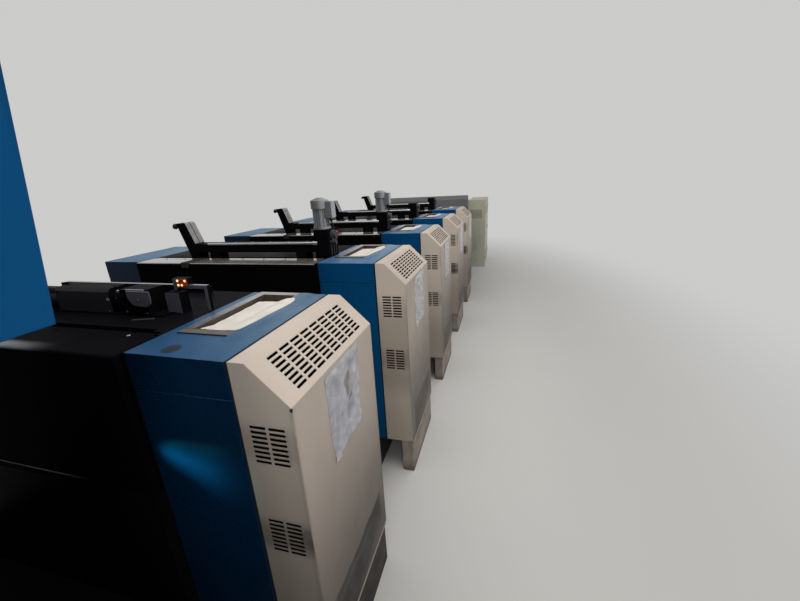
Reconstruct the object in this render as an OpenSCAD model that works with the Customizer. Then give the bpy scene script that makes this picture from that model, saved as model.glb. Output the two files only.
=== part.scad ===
// Sheet-fed offset printing press with five printing units.
// X runs across the press, with the drive side at +X. Y runs along it, from the delivery
// at -Y to the feeder at +Y. Z is up, and z = 0 is the floor.

/* [Printing units] */
// Distance from one printing unit to the next
unit_pitch = 1200; // [1150:10:1300]
// Depth of a printing unit along the press
unit_depth = 611; // [560:1:640]
// Height of the flat tops above the floor
unit_top = 1400; // [1350:10:1500]
// Height at which the unit housings end above the floor
housing_bottom = 235; // [200:5:260]
// Width of the black middle between the side housings
middle_width = 1334; // [1250:1:1400]
// Width of the blue housing on the drive side
drive_width = 355; // [330:1:400]
// Width of the blue housing on the operator side
operator_width = 316; // [280:1:360]
// Height of the separate lid on each blue housing
lid_height = 120; // [90:5:160]
// Width and depth of the shadow joint under each lid
lid_joint = 3; // [2:1:6]
// Chamfer along the folded edges of the housings
fold = 3; // [1:1:6]

/* [Side cabinets] */
// Distance that a side cabinet stands out from the drive housing
cabinet_out = 175; // [150:5:220]
// Width of the flat strip along the cabinet's top
cabinet_flat = 53; // [40:1:70]
// Height that the sloping face of the cabinet falls
slope_drop = 120; // [100:5:150]
// Thickness of the cabinet's sheet metal
sheet = 3; // [2:0.5:5]
// Dark joint between the drive housing and the cabinet
cabinet_joint = 8; // [4:1:12]
// Distance that the mounting pad in that joint is set back from the cabinet's edges
pad_back = 18; // [10:1:40]
// Width of the plinth box under the cabinet
plinth_width = 82; // [60:1:110]

/* [Grilles] */
// Length of one ventilation slot
slot_length = 50; // [40:1:54]
// Height of one ventilation slot
slot_height = 8.5; // [5:0.5:10]
// Web between the ends of two slots
slot_web = 10; // [6:1:14]
// Distance from one row of slots to the next
slot_row = 16.5; // [12:0.5:18]
// Number of slot rows in each grille
slot_rows = 8; // [4:1:8]
// Number of slots side by side on the sloping face
slope_columns = 8; // [4:1:8]
// Number of slots side by side in each upright vent
vent_columns = 2; // [1:1:2]
// Distance from the upper fold to the first slot row on the sloping face
slope_margin = 25; // [15:1:30]
// Depth of the upper vent below the cabinet's top
upper_vent_drop = 191; // [170:1:300]
// Depth of the lower vent below the cabinet's top
lower_vent_drop = 525; // [480:1:700]

/* [Front guards] */
// Distance that the guards stand out from the blue housings
guard_out = 30; // [20:1:45]
// Height of the hinged guard's face
guard_height = 500; // [420:10:540]
// Depth of the hinged guard's top flange behind the housing face
guard_flange = 140; // [110:5:180]
// Thickness of the guard's shell
guard_shell = 14; // [8:1:20]
// Rounding of the guard's upper front edge
guard_round = 12; // [4:1:20]
// Radius of the hinge pin at the back of the flange
hinge_radius = 6; // [4:0.5:8]
// Width of the lugs that carry the hinge pin
lug_width = 20; // [12:1:40]
// Height of the lower cover's bottom edge above the floor
cover_bottom = 285; // [270:5:340]
// Running clearance round the hinged guard
guard_gap = 6; // [5:1:10]

/* [Plate cylinders] */
// Radius of the plate cylinder
cylinder_radius = 135; // [110:1:140]
// Depth of the cylinder's axis behind the housing face
cylinder_back = 172; // [165:1:190]
// Depth of the cylinder's axis below the unit's top
cylinder_drop = 270; // [240:5:300]
// Thickness of the side frames that carry the cylinder
cheek = 60; // [40:5:80]
// Clearance round the cylinder
trough_gap = 6; // [4:1:12]

/* [Trays] */
// Width of the tray's bezel in the drive housing's top
tray_width = 222; // [180:1:240]
// Length of the tray's bezel along the press
tray_length = 455; // [380:1:470]
// Width of the bezel's frame
tray_bezel = 36; // [20:1:45]
// Depth of the tray
tray_depth = 26; // [10:1:40]
// Height that the bezel stands above the housing
bezel_height = 4; // [2:1:8]
// Distance of the tray's middle from the middle of the drive housing
tray_shift = 22; // [0:1:25]
// Depth of the tray's middle behind the housing face
tray_back = 380; // [350:1:400]

/* [Ink agitators] */
// Length of the agitator beam
beam_length = 957; // [900:1:980]
// Height of the beam's underside above the unit's top
beam_bottom = 36; // [25:1:50]
// Height of the beam's top above the unit's top
beam_top = 92; // [75:1:110]
// Depth of the beam's front behind the housing face
beam_front = 155; // [153:1:180]
// Depth of the beam along the press
beam_depth = 90; // [70:1:120]
// Height of the leaning end arm above the unit's top
arm_top = 234; // [200:1:260]
// Width of the end arm across the press
arm_width = 85; // [70:1:100]
// Distance that the end arm leans outwards
arm_lean = 80; // [40:1:120]
// Radius of the bright guide rod
rod_radius = 8; // [5:1:12]
// Width of the gearbox under the upright motor
gearbox_width = 94; // [80:1:110]
// Distance that the gearbox reaches over the drive housing
gearbox_over = 9; // [0:1:30]
// Depth of the gearbox along the press
gearbox_depth = 134; // [110:1:150]
// Height of the gearbox
gearbox_height = 172; // [140:1:190]
// Radius of the upright motor's finned body
motor_radius = 50; // [42:1:56]
// Height of the upright motor above its gearbox
motor_height = 172; // [150:1:220]
// Number of cooling fins round the motor
motor_fins = 20; // [12:1:24]
// Radius of the lying motor on the first unit
lying_radius = 43; // [36:1:50]
// Length of the lying motor's body
lying_length = 400; // [300:5:450]
// Depth of the lying motor's axis behind the housing face
lying_back = 320; // [280:5:400]

/* [Delivery] */
// Distance from the first printing unit to the delivery's frame
delivery_gap = 620; // [600:10:700]
// Length of the delivery's frame
delivery_length = 2200; // [2000:50:2500]
// Height at which the delivery's side frames start to narrow
delivery_shoulder = 900; // [800:10:1000]
// Distance that the side frames narrow at each end
delivery_taper = 180; // [120:10:240]
// Height of the delivery hood's underside
hood_bottom = 1605; // [1580:5:1650]
// Height of the delivery hood's top
hood_top = 2060; // [1950:10:2200]
// Distance from the hood's lower front edge to the first printing unit
hood_reach = 264; // [240:1:300]
// Lean of the hood's front edge in degrees
hood_lean = 6.5; // [0:0.5:10]
// Inset of the hood's side from the drive housing's outer face
hood_inset = 120; // [100:5:200]
// Length of the hood's sloping far end
hood_slope = 340; // [200:10:450]
// Height of the hood's upright far face
hood_face = 120; // [80:5:200]
// Thickness of the delivery's side frames
side_frame = 110; // [80:5:150]
// Height of the cross beams between the side frames
cross_beam = 200; // [150:10:260]
// Depth of the cross beam at the far end
far_beam = 120; // [80:5:160]
// Height of the chain duct's flat part above the floor
duct_height = 335; // [320:5:380]
// Length of the chain duct's flat part
duct_flat = 420; // [350:10:500]
// Length of the chain duct's rise to the hood
duct_rise = 480; // [400:10:600]
// Depth of the rising chain duct along the press
duct_depth = 400; // [300:10:500]

/* [Feeder] */
// Distance from the last printing unit to the feeder's frame
feeder_gap = 589; // [560:5:700]
// Length of the feeder's frame
feeder_length = 2400; // [2200:50:2600]
// Height of the feeder's side frames
feeder_height = 1250; // [1150:10:1350]
// Thickness of the feeder's side frames
feeder_wall = 130; // [100:5:160]
// Length of the feeder frame's sloping near corner
feeder_slope = 300; // [200:10:400]
// Height of the feeder frame's sloping corners
feeder_chamfer = 150; // [100:10:200]
// Distance from the feeder frame's near end to the pile
pile_start = 950; // [900:10:1100]
// Space between the pile and the end of the press
pile_end = 650; // [600:10:750]
// Drop of the feed board from the feeder frame's top to the last unit
feed_drop = 290; // [240:10:340]
// Rise of the feed board along its length
feed_rise = 170; // [100:10:200]
// Thickness of the feed board
feed_board_thickness = 60; // [30:5:80]
// Length of the feeder head along the press
head_length = 400; // [300:10:500]
// Height of the feeder head
head_height = 240; // [180:10:300]
// Distance that the feeder's cabinet stands out from the drive housings
feeder_cabinet_out = 290; // [200:5:320]
// Height of the feeder's cabinet
feeder_cabinet_height = 1385; // [1200:5:1400]
// Distance from the feeder frame's near end to the cabinet
feeder_cabinet_start = 1250; // [1000:10:1400]
// Height of the boards that carry the piles
pile_board_height = 130; // [100:5:160]

/* [Hidden] */
$fn = 48;

// Number of printing units
unit_count = 5;
// Clearance where two pieces lie against each other
seat = 0.3;
// Extra length of a cut past the face that it opens
past = 1;

// Colours
blue = "#16528a";
cream = "#d3cabb";
black = "#1d1e22";
dark_grey = "#3b3e42";
mid_grey = "#8d9092";
steel = "#b9bcbe";

// Places across the press, measured from the joint between drive housing and cabinet
middle_right = -drive_width;
middle_left = middle_right - middle_width;
operator_left = middle_left - operator_width;

// Places along the press, measured from the first unit's near face
last_back = (unit_count - 1) * unit_pitch + unit_depth;
feeder_start = last_back + feeder_gap;
feeder_end = feeder_start + feeder_length;
delivery_start = -delivery_gap;
delivery_end = delivery_start - delivery_length;

// Place of that joint and face in the part's own frame, which centres the press on the origin
drive_x = -(operator_left + feeder_cabinet_out) / 2;
near_y = -(delivery_end + feeder_end) / 2;

module at_press()
    translate([drive_x, near_y, 0])
    children();

module at_unit(k)
    translate([drive_x, near_y + (k - 1) * unit_pitch, 0])
    children();

// Box from one corner to the opposite one
module span(a, b)
    translate(a)
    cube(b - a);

// Upright prism with chamfered vertical edges
module folded_box(a, b, c)
    translate([0, 0, a[2]])
    linear_extrude(b[2] - a[2])
    polygon([
        [a[0] + c, a[1]], [b[0] - c, a[1]], [b[0], a[1] + c], [b[0], b[1] - c],
        [b[0] - c, b[1]], [a[0] + c, b[1]], [a[0], b[1] - c], [a[0], a[1] + c]
    ]);

// Outline in the plane of Y and Z, pushed along X from one place to another
module across(x0, x1)
    translate([x0, 0, 0])
    rotate([90, 0, 90])
    linear_extrude(x1 - x0)
    children();

// Outline in the plane of X and Z, pushed along Y from one place to another
module along(y0, y1)
    translate([0, y1, 0])
    rotate([90, 0, 0])
    linear_extrude(y1 - y0)
    children();

// Blue housing with a lid that a shadow joint sets off
module housing(x0, x1) {
    lid_z = unit_top - lid_height;
    folded_box([x0, 0, housing_bottom], [x1, unit_depth, lid_z], fold);
    folded_box([x0 + lid_joint, lid_joint, lid_z], [x1 - lid_joint, unit_depth - lid_joint,
        lid_z + lid_joint], fold);
    folded_box([x0, 0, lid_z + lid_joint], [x1, unit_depth, unit_top], fold);
}

// Centre of the tray in the drive housing's top
tray_x = -(drive_width + cabinet_joint) / 2 - tray_shift;

module drive_housing(k)
    color(blue)
    at_unit(k)
    difference() {
        union() {
            housing(-drive_width, -cabinet_joint);
            // Pad that the side cabinet is fastened to
            span([-cabinet_joint - past, pad_back, housing_bottom + pad_back],
                [-seat, unit_depth - pad_back, unit_top - lid_height - pad_back]);
            translate([tray_x, tray_back, unit_top])
            linear_extrude(bezel_height)
            square([tray_width, tray_length], center = true);
        }
        translate([tray_x, tray_back, unit_top - tray_depth])
        linear_extrude(tray_depth + bezel_height + past)
        square([tray_width - 2 * tray_bezel, tray_length - 2 * tray_bezel], center = true);
    }

module operator_housing(k)
    color(blue)
    at_unit(k)
    housing(operator_left, middle_left);

// Sloping face of the side cabinet
slope_run = cabinet_out - cabinet_flat;
slope_angle = atan2(slope_drop, slope_run);
slope_length = norm([slope_run, slope_drop]);
slope_normal = [sin(slope_angle), cos(slope_angle)];

// Corner moved inwards by t from two faces with the given outward normals
function inset(p, n1, n2, t) = p - t * (n1 + n2) / (1 + n1 * n2);

module cabinet_outline(t) {
    right = [1, 0];
    up = [0, 1];
    polygon([
        inset([0, housing_bottom], -right, -up, t),
        inset([cabinet_out, housing_bottom], right, -up, t),
        inset([cabinet_out, unit_top - slope_drop], right, slope_normal, t),
        inset([cabinet_flat, unit_top], slope_normal, up, t),
        inset([0, unit_top], -right, up, t)
    ]);
}

// Slots side by side along the first axis and in rows along the second, from the first
// row's outer edge
module slots(columns)
    for (row = [0 : slot_rows - 1])
        for (column = [0 : columns - 1])
            translate([(column - (columns - 1) / 2) * (slot_length + slot_web) - slot_length / 2,
                row * slot_row])
            square([slot_length, slot_height]);

module slope_grille()
    translate([cabinet_flat, unit_depth / 2, unit_top])
    rotate([0, slope_angle, 0])
    translate([slope_margin, 0, -2 * sheet])
    linear_extrude(4 * sheet)
    mirror([1, -1])
    slots(slope_columns);

module upright_vent(drop)
    translate([cabinet_out / 2, -past, unit_top - drop])
    rotate([-90, 0, 0])
    linear_extrude(unit_depth + 2 * past)
    slots(vent_columns);

// Cabinet of folded sheet, hollow, with its slots cut through the sheet
module side_cabinet(k)
    color(cream)
    at_unit(k)
    difference() {
        along(0, unit_depth) cabinet_outline(0);
        along(sheet, unit_depth - sheet) cabinet_outline(sheet);
        slope_grille();
        upright_vent(upper_vent_drop);
        upright_vent(lower_vent_drop);
    }

module cabinet_plinths()
    color(cream)
    for (k = [1 : unit_count])
        at_unit(k)
        folded_box([cabinet_out - plinth_width, 2 * fold, 0],
            [cabinet_out - 2 * fold, unit_depth - 2 * fold, housing_bottom], 2 * fold);

// Hinge axis of the guard, in the plane of Y and Z
hinge = [guard_flange, unit_top - hinge_radius - 1];
guard_bottom = unit_top - guard_height;
// Ends of the guard across the press
guard_left = middle_left + guard_gap;
guard_right = middle_right - guard_gap;
// Half the depth of a hinge lug
lug_half = 2 * hinge_radius;
// Radial clearance of the hinge pin in its lugs
pin_clearance = 0.05;

// Lugs at both ends of the flange's seat, bored for the hinge pin
module hinge_lugs()
    for (x = [middle_left, middle_right - lug_width])
        across(x, x + lug_width)
        difference() {
            translate([hinge[0] - lug_half, unit_top - guard_shell - guard_gap - past])
            square([2 * lug_half + past, guard_shell + guard_gap + past]);
            translate(hinge)
            circle(r = hinge_radius + pin_clearance);
        }

module unit_block()
    difference() {
        union() {
            span([middle_left, 0, housing_bottom], [middle_right, unit_depth, unit_top]);
            across(guard_left, guard_right)
            polygon([
                [0, cover_bottom], [-guard_out + fold, cover_bottom],
                [-guard_out, cover_bottom + fold],
                [-guard_out, guard_bottom - guard_gap - fold],
                [-guard_out + fold, guard_bottom - guard_gap], [0, guard_bottom - guard_gap]
            ]);
        }
        // Seat of the guard's flange and hinge
        span([middle_left - past, -past, unit_top - guard_shell - guard_gap],
            [middle_right + past, hinge[0] + lug_half, unit_top + past]);
        // Working space behind the guard
        span([middle_left + cheek, -past, guard_bottom - guard_gap],
            [middle_right - cheek, cylinder_back - past, unit_top]);
        // Trough round the plate cylinder
        translate([middle_left + cheek, cylinder_back, unit_top - cylinder_drop])
        rotate([0, 90, 0])
        cylinder(r = cylinder_radius + trough_gap, h = middle_width - 2 * cheek, $fn = 96);
    }

module unit_body(k)
    color(black)
    at_unit(k)
    union() {
        unit_block();
        hinge_lugs();
    }

module plate_cylinders()
    color(steel)
    for (k = [1 : unit_count])
        at_unit(k)
        translate([middle_left + cheek + seat, cylinder_back, unit_top - cylinder_drop])
        rotate([0, 90, 0]) {
            cylinder(r = cylinder_radius / 3, h = middle_width - 2 * (cheek + seat));
            translate([0, 0, trough_gap])
            cylinder(r = cylinder_radius, h = middle_width - 2 * (cheek + seat + trough_gap),
                $fn = 96);
        }

// Points of a quarter round from one angle to the next
function arc(centre, r, from, to, steps = 6) =
    [for (i = [0 : steps]) centre + r * [cos(from + (to - from) * i / steps),
        sin(from + (to - from) * i / steps)]];

// Guard of one folded shell with closed ends, hinged at the back of its top flange
module front_guard(k) {
    back = hinge[0] - hinge_radius;
    notch = lug_width + guard_gap - guard_left + middle_left;
    outer = concat(
        [[back, unit_top]],
        arc([-guard_out + guard_round, unit_top - guard_round], guard_round, 90, 180),
        [[-guard_out, guard_bottom]]
    );
    color(black)
    at_unit(k)
    union() {
        difference() {
            across(guard_left, guard_right)
            polygon(concat(outer, [
                [-guard_out + guard_shell, guard_bottom],
                [-guard_out + guard_shell, unit_top - guard_shell],
                [back, unit_top - guard_shell]
            ]));
            // Notches round the hinge lugs
            for (x = [guard_left - past, guard_right - notch])
                span([x, hinge[0] - lug_half - guard_gap, unit_top - guard_shell - past],
                    [x + notch + past, back + past, unit_top + past]);
        }
        // Returned ends of the face
        for (x = [guard_left, guard_right - guard_shell])
            span([x, -guard_out + guard_shell / 2, guard_bottom],
                [x + guard_shell, -guard_gap, unit_top - guard_shell / 2]);
        // Folded lip along the lower edge
        span([guard_left, -guard_out + guard_shell / 2, guard_bottom],
            [guard_right, -guard_gap, guard_bottom + guard_shell]);
        // Hinge barrel and its two pins
        across(middle_left + seat, middle_right - seat)
        translate(hinge)
        circle(r = hinge_radius);
        span([guard_left + notch, back - past, hinge[1] - hinge_radius / 2],
            [guard_right - notch, hinge[0], hinge[1] + hinge_radius / 2]);
    }
}

// Units whose agitator has an upright motor
motor_units = [2, 3];

// Places of the agitator across the press
gearbox_right = middle_right + gearbox_over;
beam_right = gearbox_right - gearbox_width;
beam_left = beam_right - beam_length;

module agitator_rail(k)
    color(black)
    at_unit(k) {
        if (k == 1) {
            short_rail();
        } else {
            tall_rail();
            gearbox();
        }
    }

// Beam of the agitator on its posts, with its leaning end arm and guide rod
module tall_rail() {
    foot = 60;
    post = 70;
    post_gap = 100;
    shoulder = 0.7 * arm_width;
    beam_back = beam_front + beam_depth;
    span([beam_left + foot, beam_front, unit_top + beam_bottom],
        [beam_right + past, beam_back, unit_top + beam_top]);
    for (x = [beam_left + foot + post_gap, beam_right - 2 * post])
        span([x, beam_front, unit_top], [x + post, beam_back, unit_top + beam_bottom + past]);
    along(beam_front, beam_back)
    polygon([
        [beam_left, unit_top], [beam_left + foot, unit_top],
        [beam_left + foot, unit_top + beam_bottom],
        [beam_left + foot + post / 2, unit_top + beam_bottom],
        [beam_left + foot + post / 2, unit_top + beam_top],
        [beam_left - arm_lean + arm_width, unit_top + arm_top - rod_radius],
        [beam_left - arm_lean + shoulder, unit_top + arm_top],
        [beam_left - arm_lean, unit_top + arm_top]
    ]);
    translate([beam_left + foot + post_gap, beam_front, unit_top + beam_top])
    rotate([0, 90, 0])
    cylinder(r = rod_radius, h = beam_right + gearbox_width / 4 - beam_left - foot - post_gap);
    // Round end piece of the rod
    translate([beam_right - rod_radius, beam_front - seat, unit_top + beam_top])
    rotate([0, 90, 0])
    cylinder(r = 1.5 * rod_radius, h = gearbox_width / 3);
}

// Gearbox at the drive end of the beam, with its flange and coupling
module gearbox() {
    flange = 38;
    flange_width = 14;
    coupling = 12;
    coupling_reach = 40;
    rib = 6;
    front = beam_front;
    span([beam_right, front, unit_top], [gearbox_right, front + gearbox_depth, unit_top + gearbox_height]);
    // Ribs on the side
    for (i = [1 : 3])
        span([gearbox_right - past, front + i * gearbox_depth / 4 - rib, unit_top + 2 * rib],
            [gearbox_right + rib, front + i * gearbox_depth / 4, unit_top + gearbox_height / 2 - rib]);
    translate([gearbox_right - past, front + gearbox_depth / 2, unit_top + gearbox_height - flange - rib])
    rotate([0, 90, 0]) {
        cylinder(r = flange, h = flange_width + past);
        cylinder(r = flange / 2, h = 2 * flange_width + past);
    }
    translate([gearbox_right - past, front + 3 * coupling, unit_top + beam_top])
    rotate([0, 90, 0])
    cylinder(r = coupling, h = coupling_reach + past);
}

// Low drive of the first unit, with a lying motor under a cowl, its gear head and a bracket
module short_rail() {
    plate = 6;
    strip = 14;
    cowl_chamfer = 12;
    head_width = 120;
    head_top = unit_top + 2 * lying_radius + strip;
    head_right = beam_right - head_width;
    motor_right = head_right - head_width;
    cowl_right = motor_right - head_width / 2;
    cowl_left = cowl_right - lying_length + head_width;
    cover_radius = 40;
    console_width = 66;
    console_height = 24;
    bracket_left = head_right + head_width / 2 - strip;
    bracket_right = middle_right - strip / 2;
    bracket_y = lying_back + lying_radius - past;
    // Sole plate
    span([beam_left, lying_back - lying_radius, unit_top],
        [head_right + head_width / 2, lying_back + 2 * lying_radius, unit_top + plate]);
    // Motor under a folded cowl
    across(cowl_left, cowl_right)
    polygon([
        [lying_back - lying_radius, unit_top],
        [lying_back + lying_radius, unit_top],
        [lying_back + lying_radius, head_top - cowl_chamfer],
        [lying_back + lying_radius - cowl_chamfer, head_top],
        [lying_back - lying_radius + cowl_chamfer, head_top],
        [lying_back - lying_radius, head_top - cowl_chamfer]
    ]);
    // Motor end and its round flange
    translate([motor_right + past, lying_back, unit_top + plate + lying_radius])
    rotate([0, -90, 0]) {
        cylinder(r = lying_radius - plate, h = head_width / 2 + 2 * past);
        cylinder(r = lying_radius + plate / 2, h = 2 * strip);
    }
    // Tail of the motor on its foot
    translate([cowl_left + past, lying_back, unit_top + plate + lying_radius])
    rotate([0, -90, 0])
    cylinder(r = lying_radius - plate, h = head_width);
    span([cowl_left - head_width + strip, lying_back - lying_radius + strip, unit_top],
        [cowl_left - head_width + 2 * strip, lying_back + lying_radius - strip, unit_top + lying_radius]);
    // Gear head with a round cover on its front
    span([motor_right, lying_back - lying_radius, unit_top],
        [head_right, lying_back + lying_radius, head_top]);
    translate([head_right - cover_radius - plate / 2, lying_back - lying_radius + past,
        head_top - cover_radius - plate / 2])
    rotate([90, 0, 0])
    cylinder(r = cover_radius, h = strip + past);
    // Flat bar along the motor
    span([motor_right - lying_length, bracket_y, head_top - strip],
        [bracket_left + past, bracket_y + strip, head_top]);
    // Bearing block beside the gear head
    span([head_right + head_width / 3, lying_back, unit_top],
        [head_right + head_width - strip, lying_back + lying_radius, head_top - 1.5 * strip]);
    // Bracket that reaches to the drive housing
    span([bracket_left, bracket_y, unit_top + lying_radius],
        [bracket_left + strip, bracket_y + strip, head_top - past]);
    span([bracket_left, bracket_y, head_top - strip],
        [bracket_right, bracket_y + strip, head_top]);
    span([bracket_right - strip, bracket_y, unit_top],
        [bracket_right, bracket_y + strip, head_top]);
    // Lamp console on the bracket
    span([bracket_left, bracket_y, head_top - past],
        [bracket_left + console_width, bracket_y + 2 * strip, head_top + console_height]);
    // Rail along the back edge
    span([beam_left - arm_lean, unit_depth - 2 * strip, unit_top],
        [head_right, unit_depth - strip, unit_top + 2 * strip]);
}

// Upright motor with fins, domed fan cowl and terminal box
module upright_motor() {
    neck = 14;
    cowl = 48;
    dome = 14;
    fin = 3;
    box_width = 34;
    box_depth = 60;
    box_height = 100;
    core = 0.86 * motor_radius;
    cylinder(r = motor_radius + fin, h = neck);
    cylinder(r = core, h = motor_height);
    for (i = [0 : motor_fins - 1])
        rotate([0, 0, i * 360 / motor_fins])
        translate([0, -fin / 2, neck - past])
        cube([motor_radius, fin, motor_height - neck - cowl + 2 * past]);
    translate([0, 0, motor_height - cowl]) {
        cylinder(r = motor_radius + 2 * fin, h = cowl);
        translate([0, 0, cowl])
        cylinder(r1 = motor_radius + 2 * fin, r2 = core / 2, h = dome);
    }
    translate([core, -box_depth / 2, motor_height - box_height - dome / 2])
    cube([box_width + motor_radius - core, box_depth, box_height]);
}

module agitator_motors()
    color(mid_grey)
    for (k = motor_units)
        at_unit(k)
        translate([beam_right + gearbox_width / 3, beam_front + gearbox_depth / 2 - seat,
            unit_top + gearbox_height + seat])
        upright_motor();

// Base of the press inset below the housings
bed_inset = 60;

module press_bed()
    color(dark_grey)
    at_press()
    folded_box([operator_left + bed_inset, delivery_start + seat, 0],
        [-bed_inset, feeder_start - seat, housing_bottom], fold);

module footboards()
    color(dark_grey)
    for (k = [1 : unit_count])
        at_unit(k)
        folded_box([operator_left + bed_inset, unit_depth + guard_gap, housing_bottom],
            [-bed_inset, (k < unit_count ? unit_pitch : unit_depth + feeder_gap) - guard_out - guard_gap,
                cover_bottom], fold);

// Sides of the delivery across the press
delivery_right = -hood_inset;
delivery_left = operator_left + hood_inset;

module delivery_frame()
    color(blue)
    at_press()
    union() {
        for (x = [delivery_left, delivery_right - side_frame])
            across(x, x + side_frame)
            polygon([
                [delivery_start, 0], [delivery_start, delivery_shoulder],
                [delivery_start - delivery_taper, hood_bottom],
                [delivery_end + delivery_taper, hood_bottom],
                [delivery_end, delivery_shoulder], [delivery_end, 0]
            ]);
        span([delivery_left + side_frame / 2, delivery_start - 1.5 * cross_beam, 0],
            [delivery_right - side_frame / 2, delivery_start, cross_beam]);
        span([delivery_left + side_frame / 2, delivery_end, delivery_shoulder - cross_beam],
            [delivery_right - side_frame / 2, delivery_end + far_beam, delivery_shoulder]);
    }

module delivery_hood()
    color(blue)
    at_press()
    across(delivery_left, delivery_right)
    polygon([
        [-hood_reach, hood_bottom],
        [-hood_reach + (hood_top - hood_bottom) * tan(hood_lean), hood_top],
        [delivery_end + delivery_taper + hood_slope, hood_top],
        [delivery_end + delivery_taper, hood_bottom + hood_face],
        [delivery_end + delivery_taper, hood_bottom]
    ]);

// Chain duct, flat beside the first unit and then rising to the hood
module delivery_duct()
    color(black)
    at_press()
    across(delivery_left + side_frame + seat, delivery_right - side_frame - seat)
    polygon([
        [-guard_out - seat, housing_bottom + seat], [-guard_out - seat, duct_height],
        [-duct_flat, duct_height], [-duct_flat - duct_rise, hood_bottom - seat],
        [-duct_flat - duct_rise - duct_depth, hood_bottom - seat],
        [delivery_start - seat, duct_height], [delivery_start - seat, housing_bottom + seat]
    ]);

// Sides of the feeder across the press
feeder_right = -bed_inset;
feeder_left = operator_left + bed_inset;
pile_back = feeder_end - pile_end;

module feeder_frame()
    color(blue)
    at_press()
    union() {
        for (x = [feeder_left, feeder_right - feeder_wall])
            across(x, x + feeder_wall)
            polygon([
                [feeder_start, 0], [feeder_start, feeder_height - feeder_chamfer],
                [feeder_start + feeder_slope, feeder_height],
                [pile_back - feeder_chamfer, feeder_height],
                [pile_back, feeder_height - feeder_chamfer], [pile_back, 0]
            ]);
        span([feeder_left + feeder_wall / 2, feeder_start, 0],
            [feeder_right - feeder_wall / 2, feeder_start + feeder_slope, housing_bottom]);
    }

module feed_board() {
    low = feeder_height - feed_drop;
    color(steel)
    at_press()
    across(feeder_left + feeder_wall + seat, feeder_right - feeder_wall - seat)
    polygon([
        [last_back + seat, low - feed_board_thickness], [last_back + seat, low],
        [feeder_start + pile_start - seat, low + feed_rise],
        [feeder_start + pile_start - seat, low + feed_rise - feed_board_thickness]
    ]);
}

// Head over the pile, with the suction unit and its feet below it
module feeder_head() {
    y0 = feeder_start + pile_start;
    bevel = head_height / 4;
    suction_width = head_length;
    suction_drop = feed_board_thickness;
    foot_radius = bevel / 4;
    middle = (feeder_left + feeder_right) / 2;
    color(mid_grey)
    at_press()
    translate([0, y0, feeder_height + seat])
    union() {
        across(feeder_left, feeder_right)
        polygon([
            [0, 0], [0, head_height - bevel], [bevel, head_height],
            [head_length - bevel, head_height], [head_length, head_height - bevel], [head_length, 0]
        ]);
        span([middle - suction_width, bevel, -suction_drop],
            [middle + suction_width, head_length - bevel, past]);
        for (x = [-3 : 2 : 3])
            translate([middle + x * suction_width / 4, head_length - 2 * bevel, -2 * suction_drop])
            cylinder(r = foot_radius, h = suction_drop + past);
    }
}

module feeder_cabinet()
    color(cream)
    at_press()
    folded_box([feeder_right + seat, feeder_start + feeder_cabinet_start, 0],
        [feeder_cabinet_out, feeder_end, feeder_cabinet_height], fold);

// Board on three skids, for a pile of sheets
module pile_board(x0, x1, y0, y1) {
    skid = 0.7 * pile_board_height;
    span([x0, y0, skid], [x1, y1, pile_board_height]);
    for (x = [x0, (x0 + x1 - skid) / 2, x1 - skid])
        span([x, y0, 0], [x + skid, y1, skid + past]);
}

module pile_boards()
    color(dark_grey)
    at_press() {
        pile_board(delivery_left + side_frame + seat, delivery_right - side_frame - seat,
            delivery_end + 2 * far_beam, delivery_start - duct_depth - 2 * cross_beam);
        pile_board(feeder_left + feeder_wall + seat, feeder_right - feeder_wall - seat,
            feeder_start + pile_start, pile_back);
    }

for (k = [1 : unit_count]) {
    drive_housing(k);
    side_cabinet(k);
    operator_housing(k);
    unit_body(k);
    front_guard(k);
    agitator_rail(k);
}
agitator_motors();
plate_cylinders();
press_bed();
footboards();
cabinet_plinths();
delivery_frame();
delivery_hood();
delivery_duct();
feeder_frame();
feed_board();
feeder_head();
feeder_cabinet();
pile_boards();
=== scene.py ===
"""Looks of a sheet-fed offset printing press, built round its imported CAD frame.

Lengths are metres in the frame of the part: X across the press with the drive side at +X,
Y along it from the delivery to the feeder, Z up from the floor. Colours are sRGB, 0 to 255.
"""
from functools import cached_property, reduce
from itertools import product
from math import cos, hypot, pi, radians, sin, tau

import bpy
from mathutils import Matrix, Quaternion, Vector, noise


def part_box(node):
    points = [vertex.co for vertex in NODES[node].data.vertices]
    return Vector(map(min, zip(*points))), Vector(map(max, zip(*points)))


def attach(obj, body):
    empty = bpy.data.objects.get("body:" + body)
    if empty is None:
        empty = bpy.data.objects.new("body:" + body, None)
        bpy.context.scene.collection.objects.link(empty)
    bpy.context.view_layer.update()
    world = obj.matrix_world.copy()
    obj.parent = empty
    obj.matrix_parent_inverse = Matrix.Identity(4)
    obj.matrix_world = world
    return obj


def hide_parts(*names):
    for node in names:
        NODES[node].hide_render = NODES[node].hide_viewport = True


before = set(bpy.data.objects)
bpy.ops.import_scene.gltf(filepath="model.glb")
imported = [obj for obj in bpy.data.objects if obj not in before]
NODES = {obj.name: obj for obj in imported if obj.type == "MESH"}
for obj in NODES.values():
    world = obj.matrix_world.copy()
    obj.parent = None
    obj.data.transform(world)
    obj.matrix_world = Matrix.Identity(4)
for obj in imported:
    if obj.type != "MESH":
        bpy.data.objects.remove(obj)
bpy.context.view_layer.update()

# Places that the frame gives. Those on a unit count from its joint between housing and cabinet
# and from its near face
UNITS = range(1, 6)
(JOINT_X, FACE_Y, HOUSING_BOTTOM), (CABINET_X, CABINET_Y, TOP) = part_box("side_cabinet_1")
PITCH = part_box("side_cabinet_2")[0].y - FACE_Y
DEPTH, CABINET_OUT = CABINET_Y - FACE_Y, CABINET_X - JOINT_X
MIDDLE_LEFT, MIDDLE_RIGHT = (corner.x - JOINT_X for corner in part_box("unit_body_1"))
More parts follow.
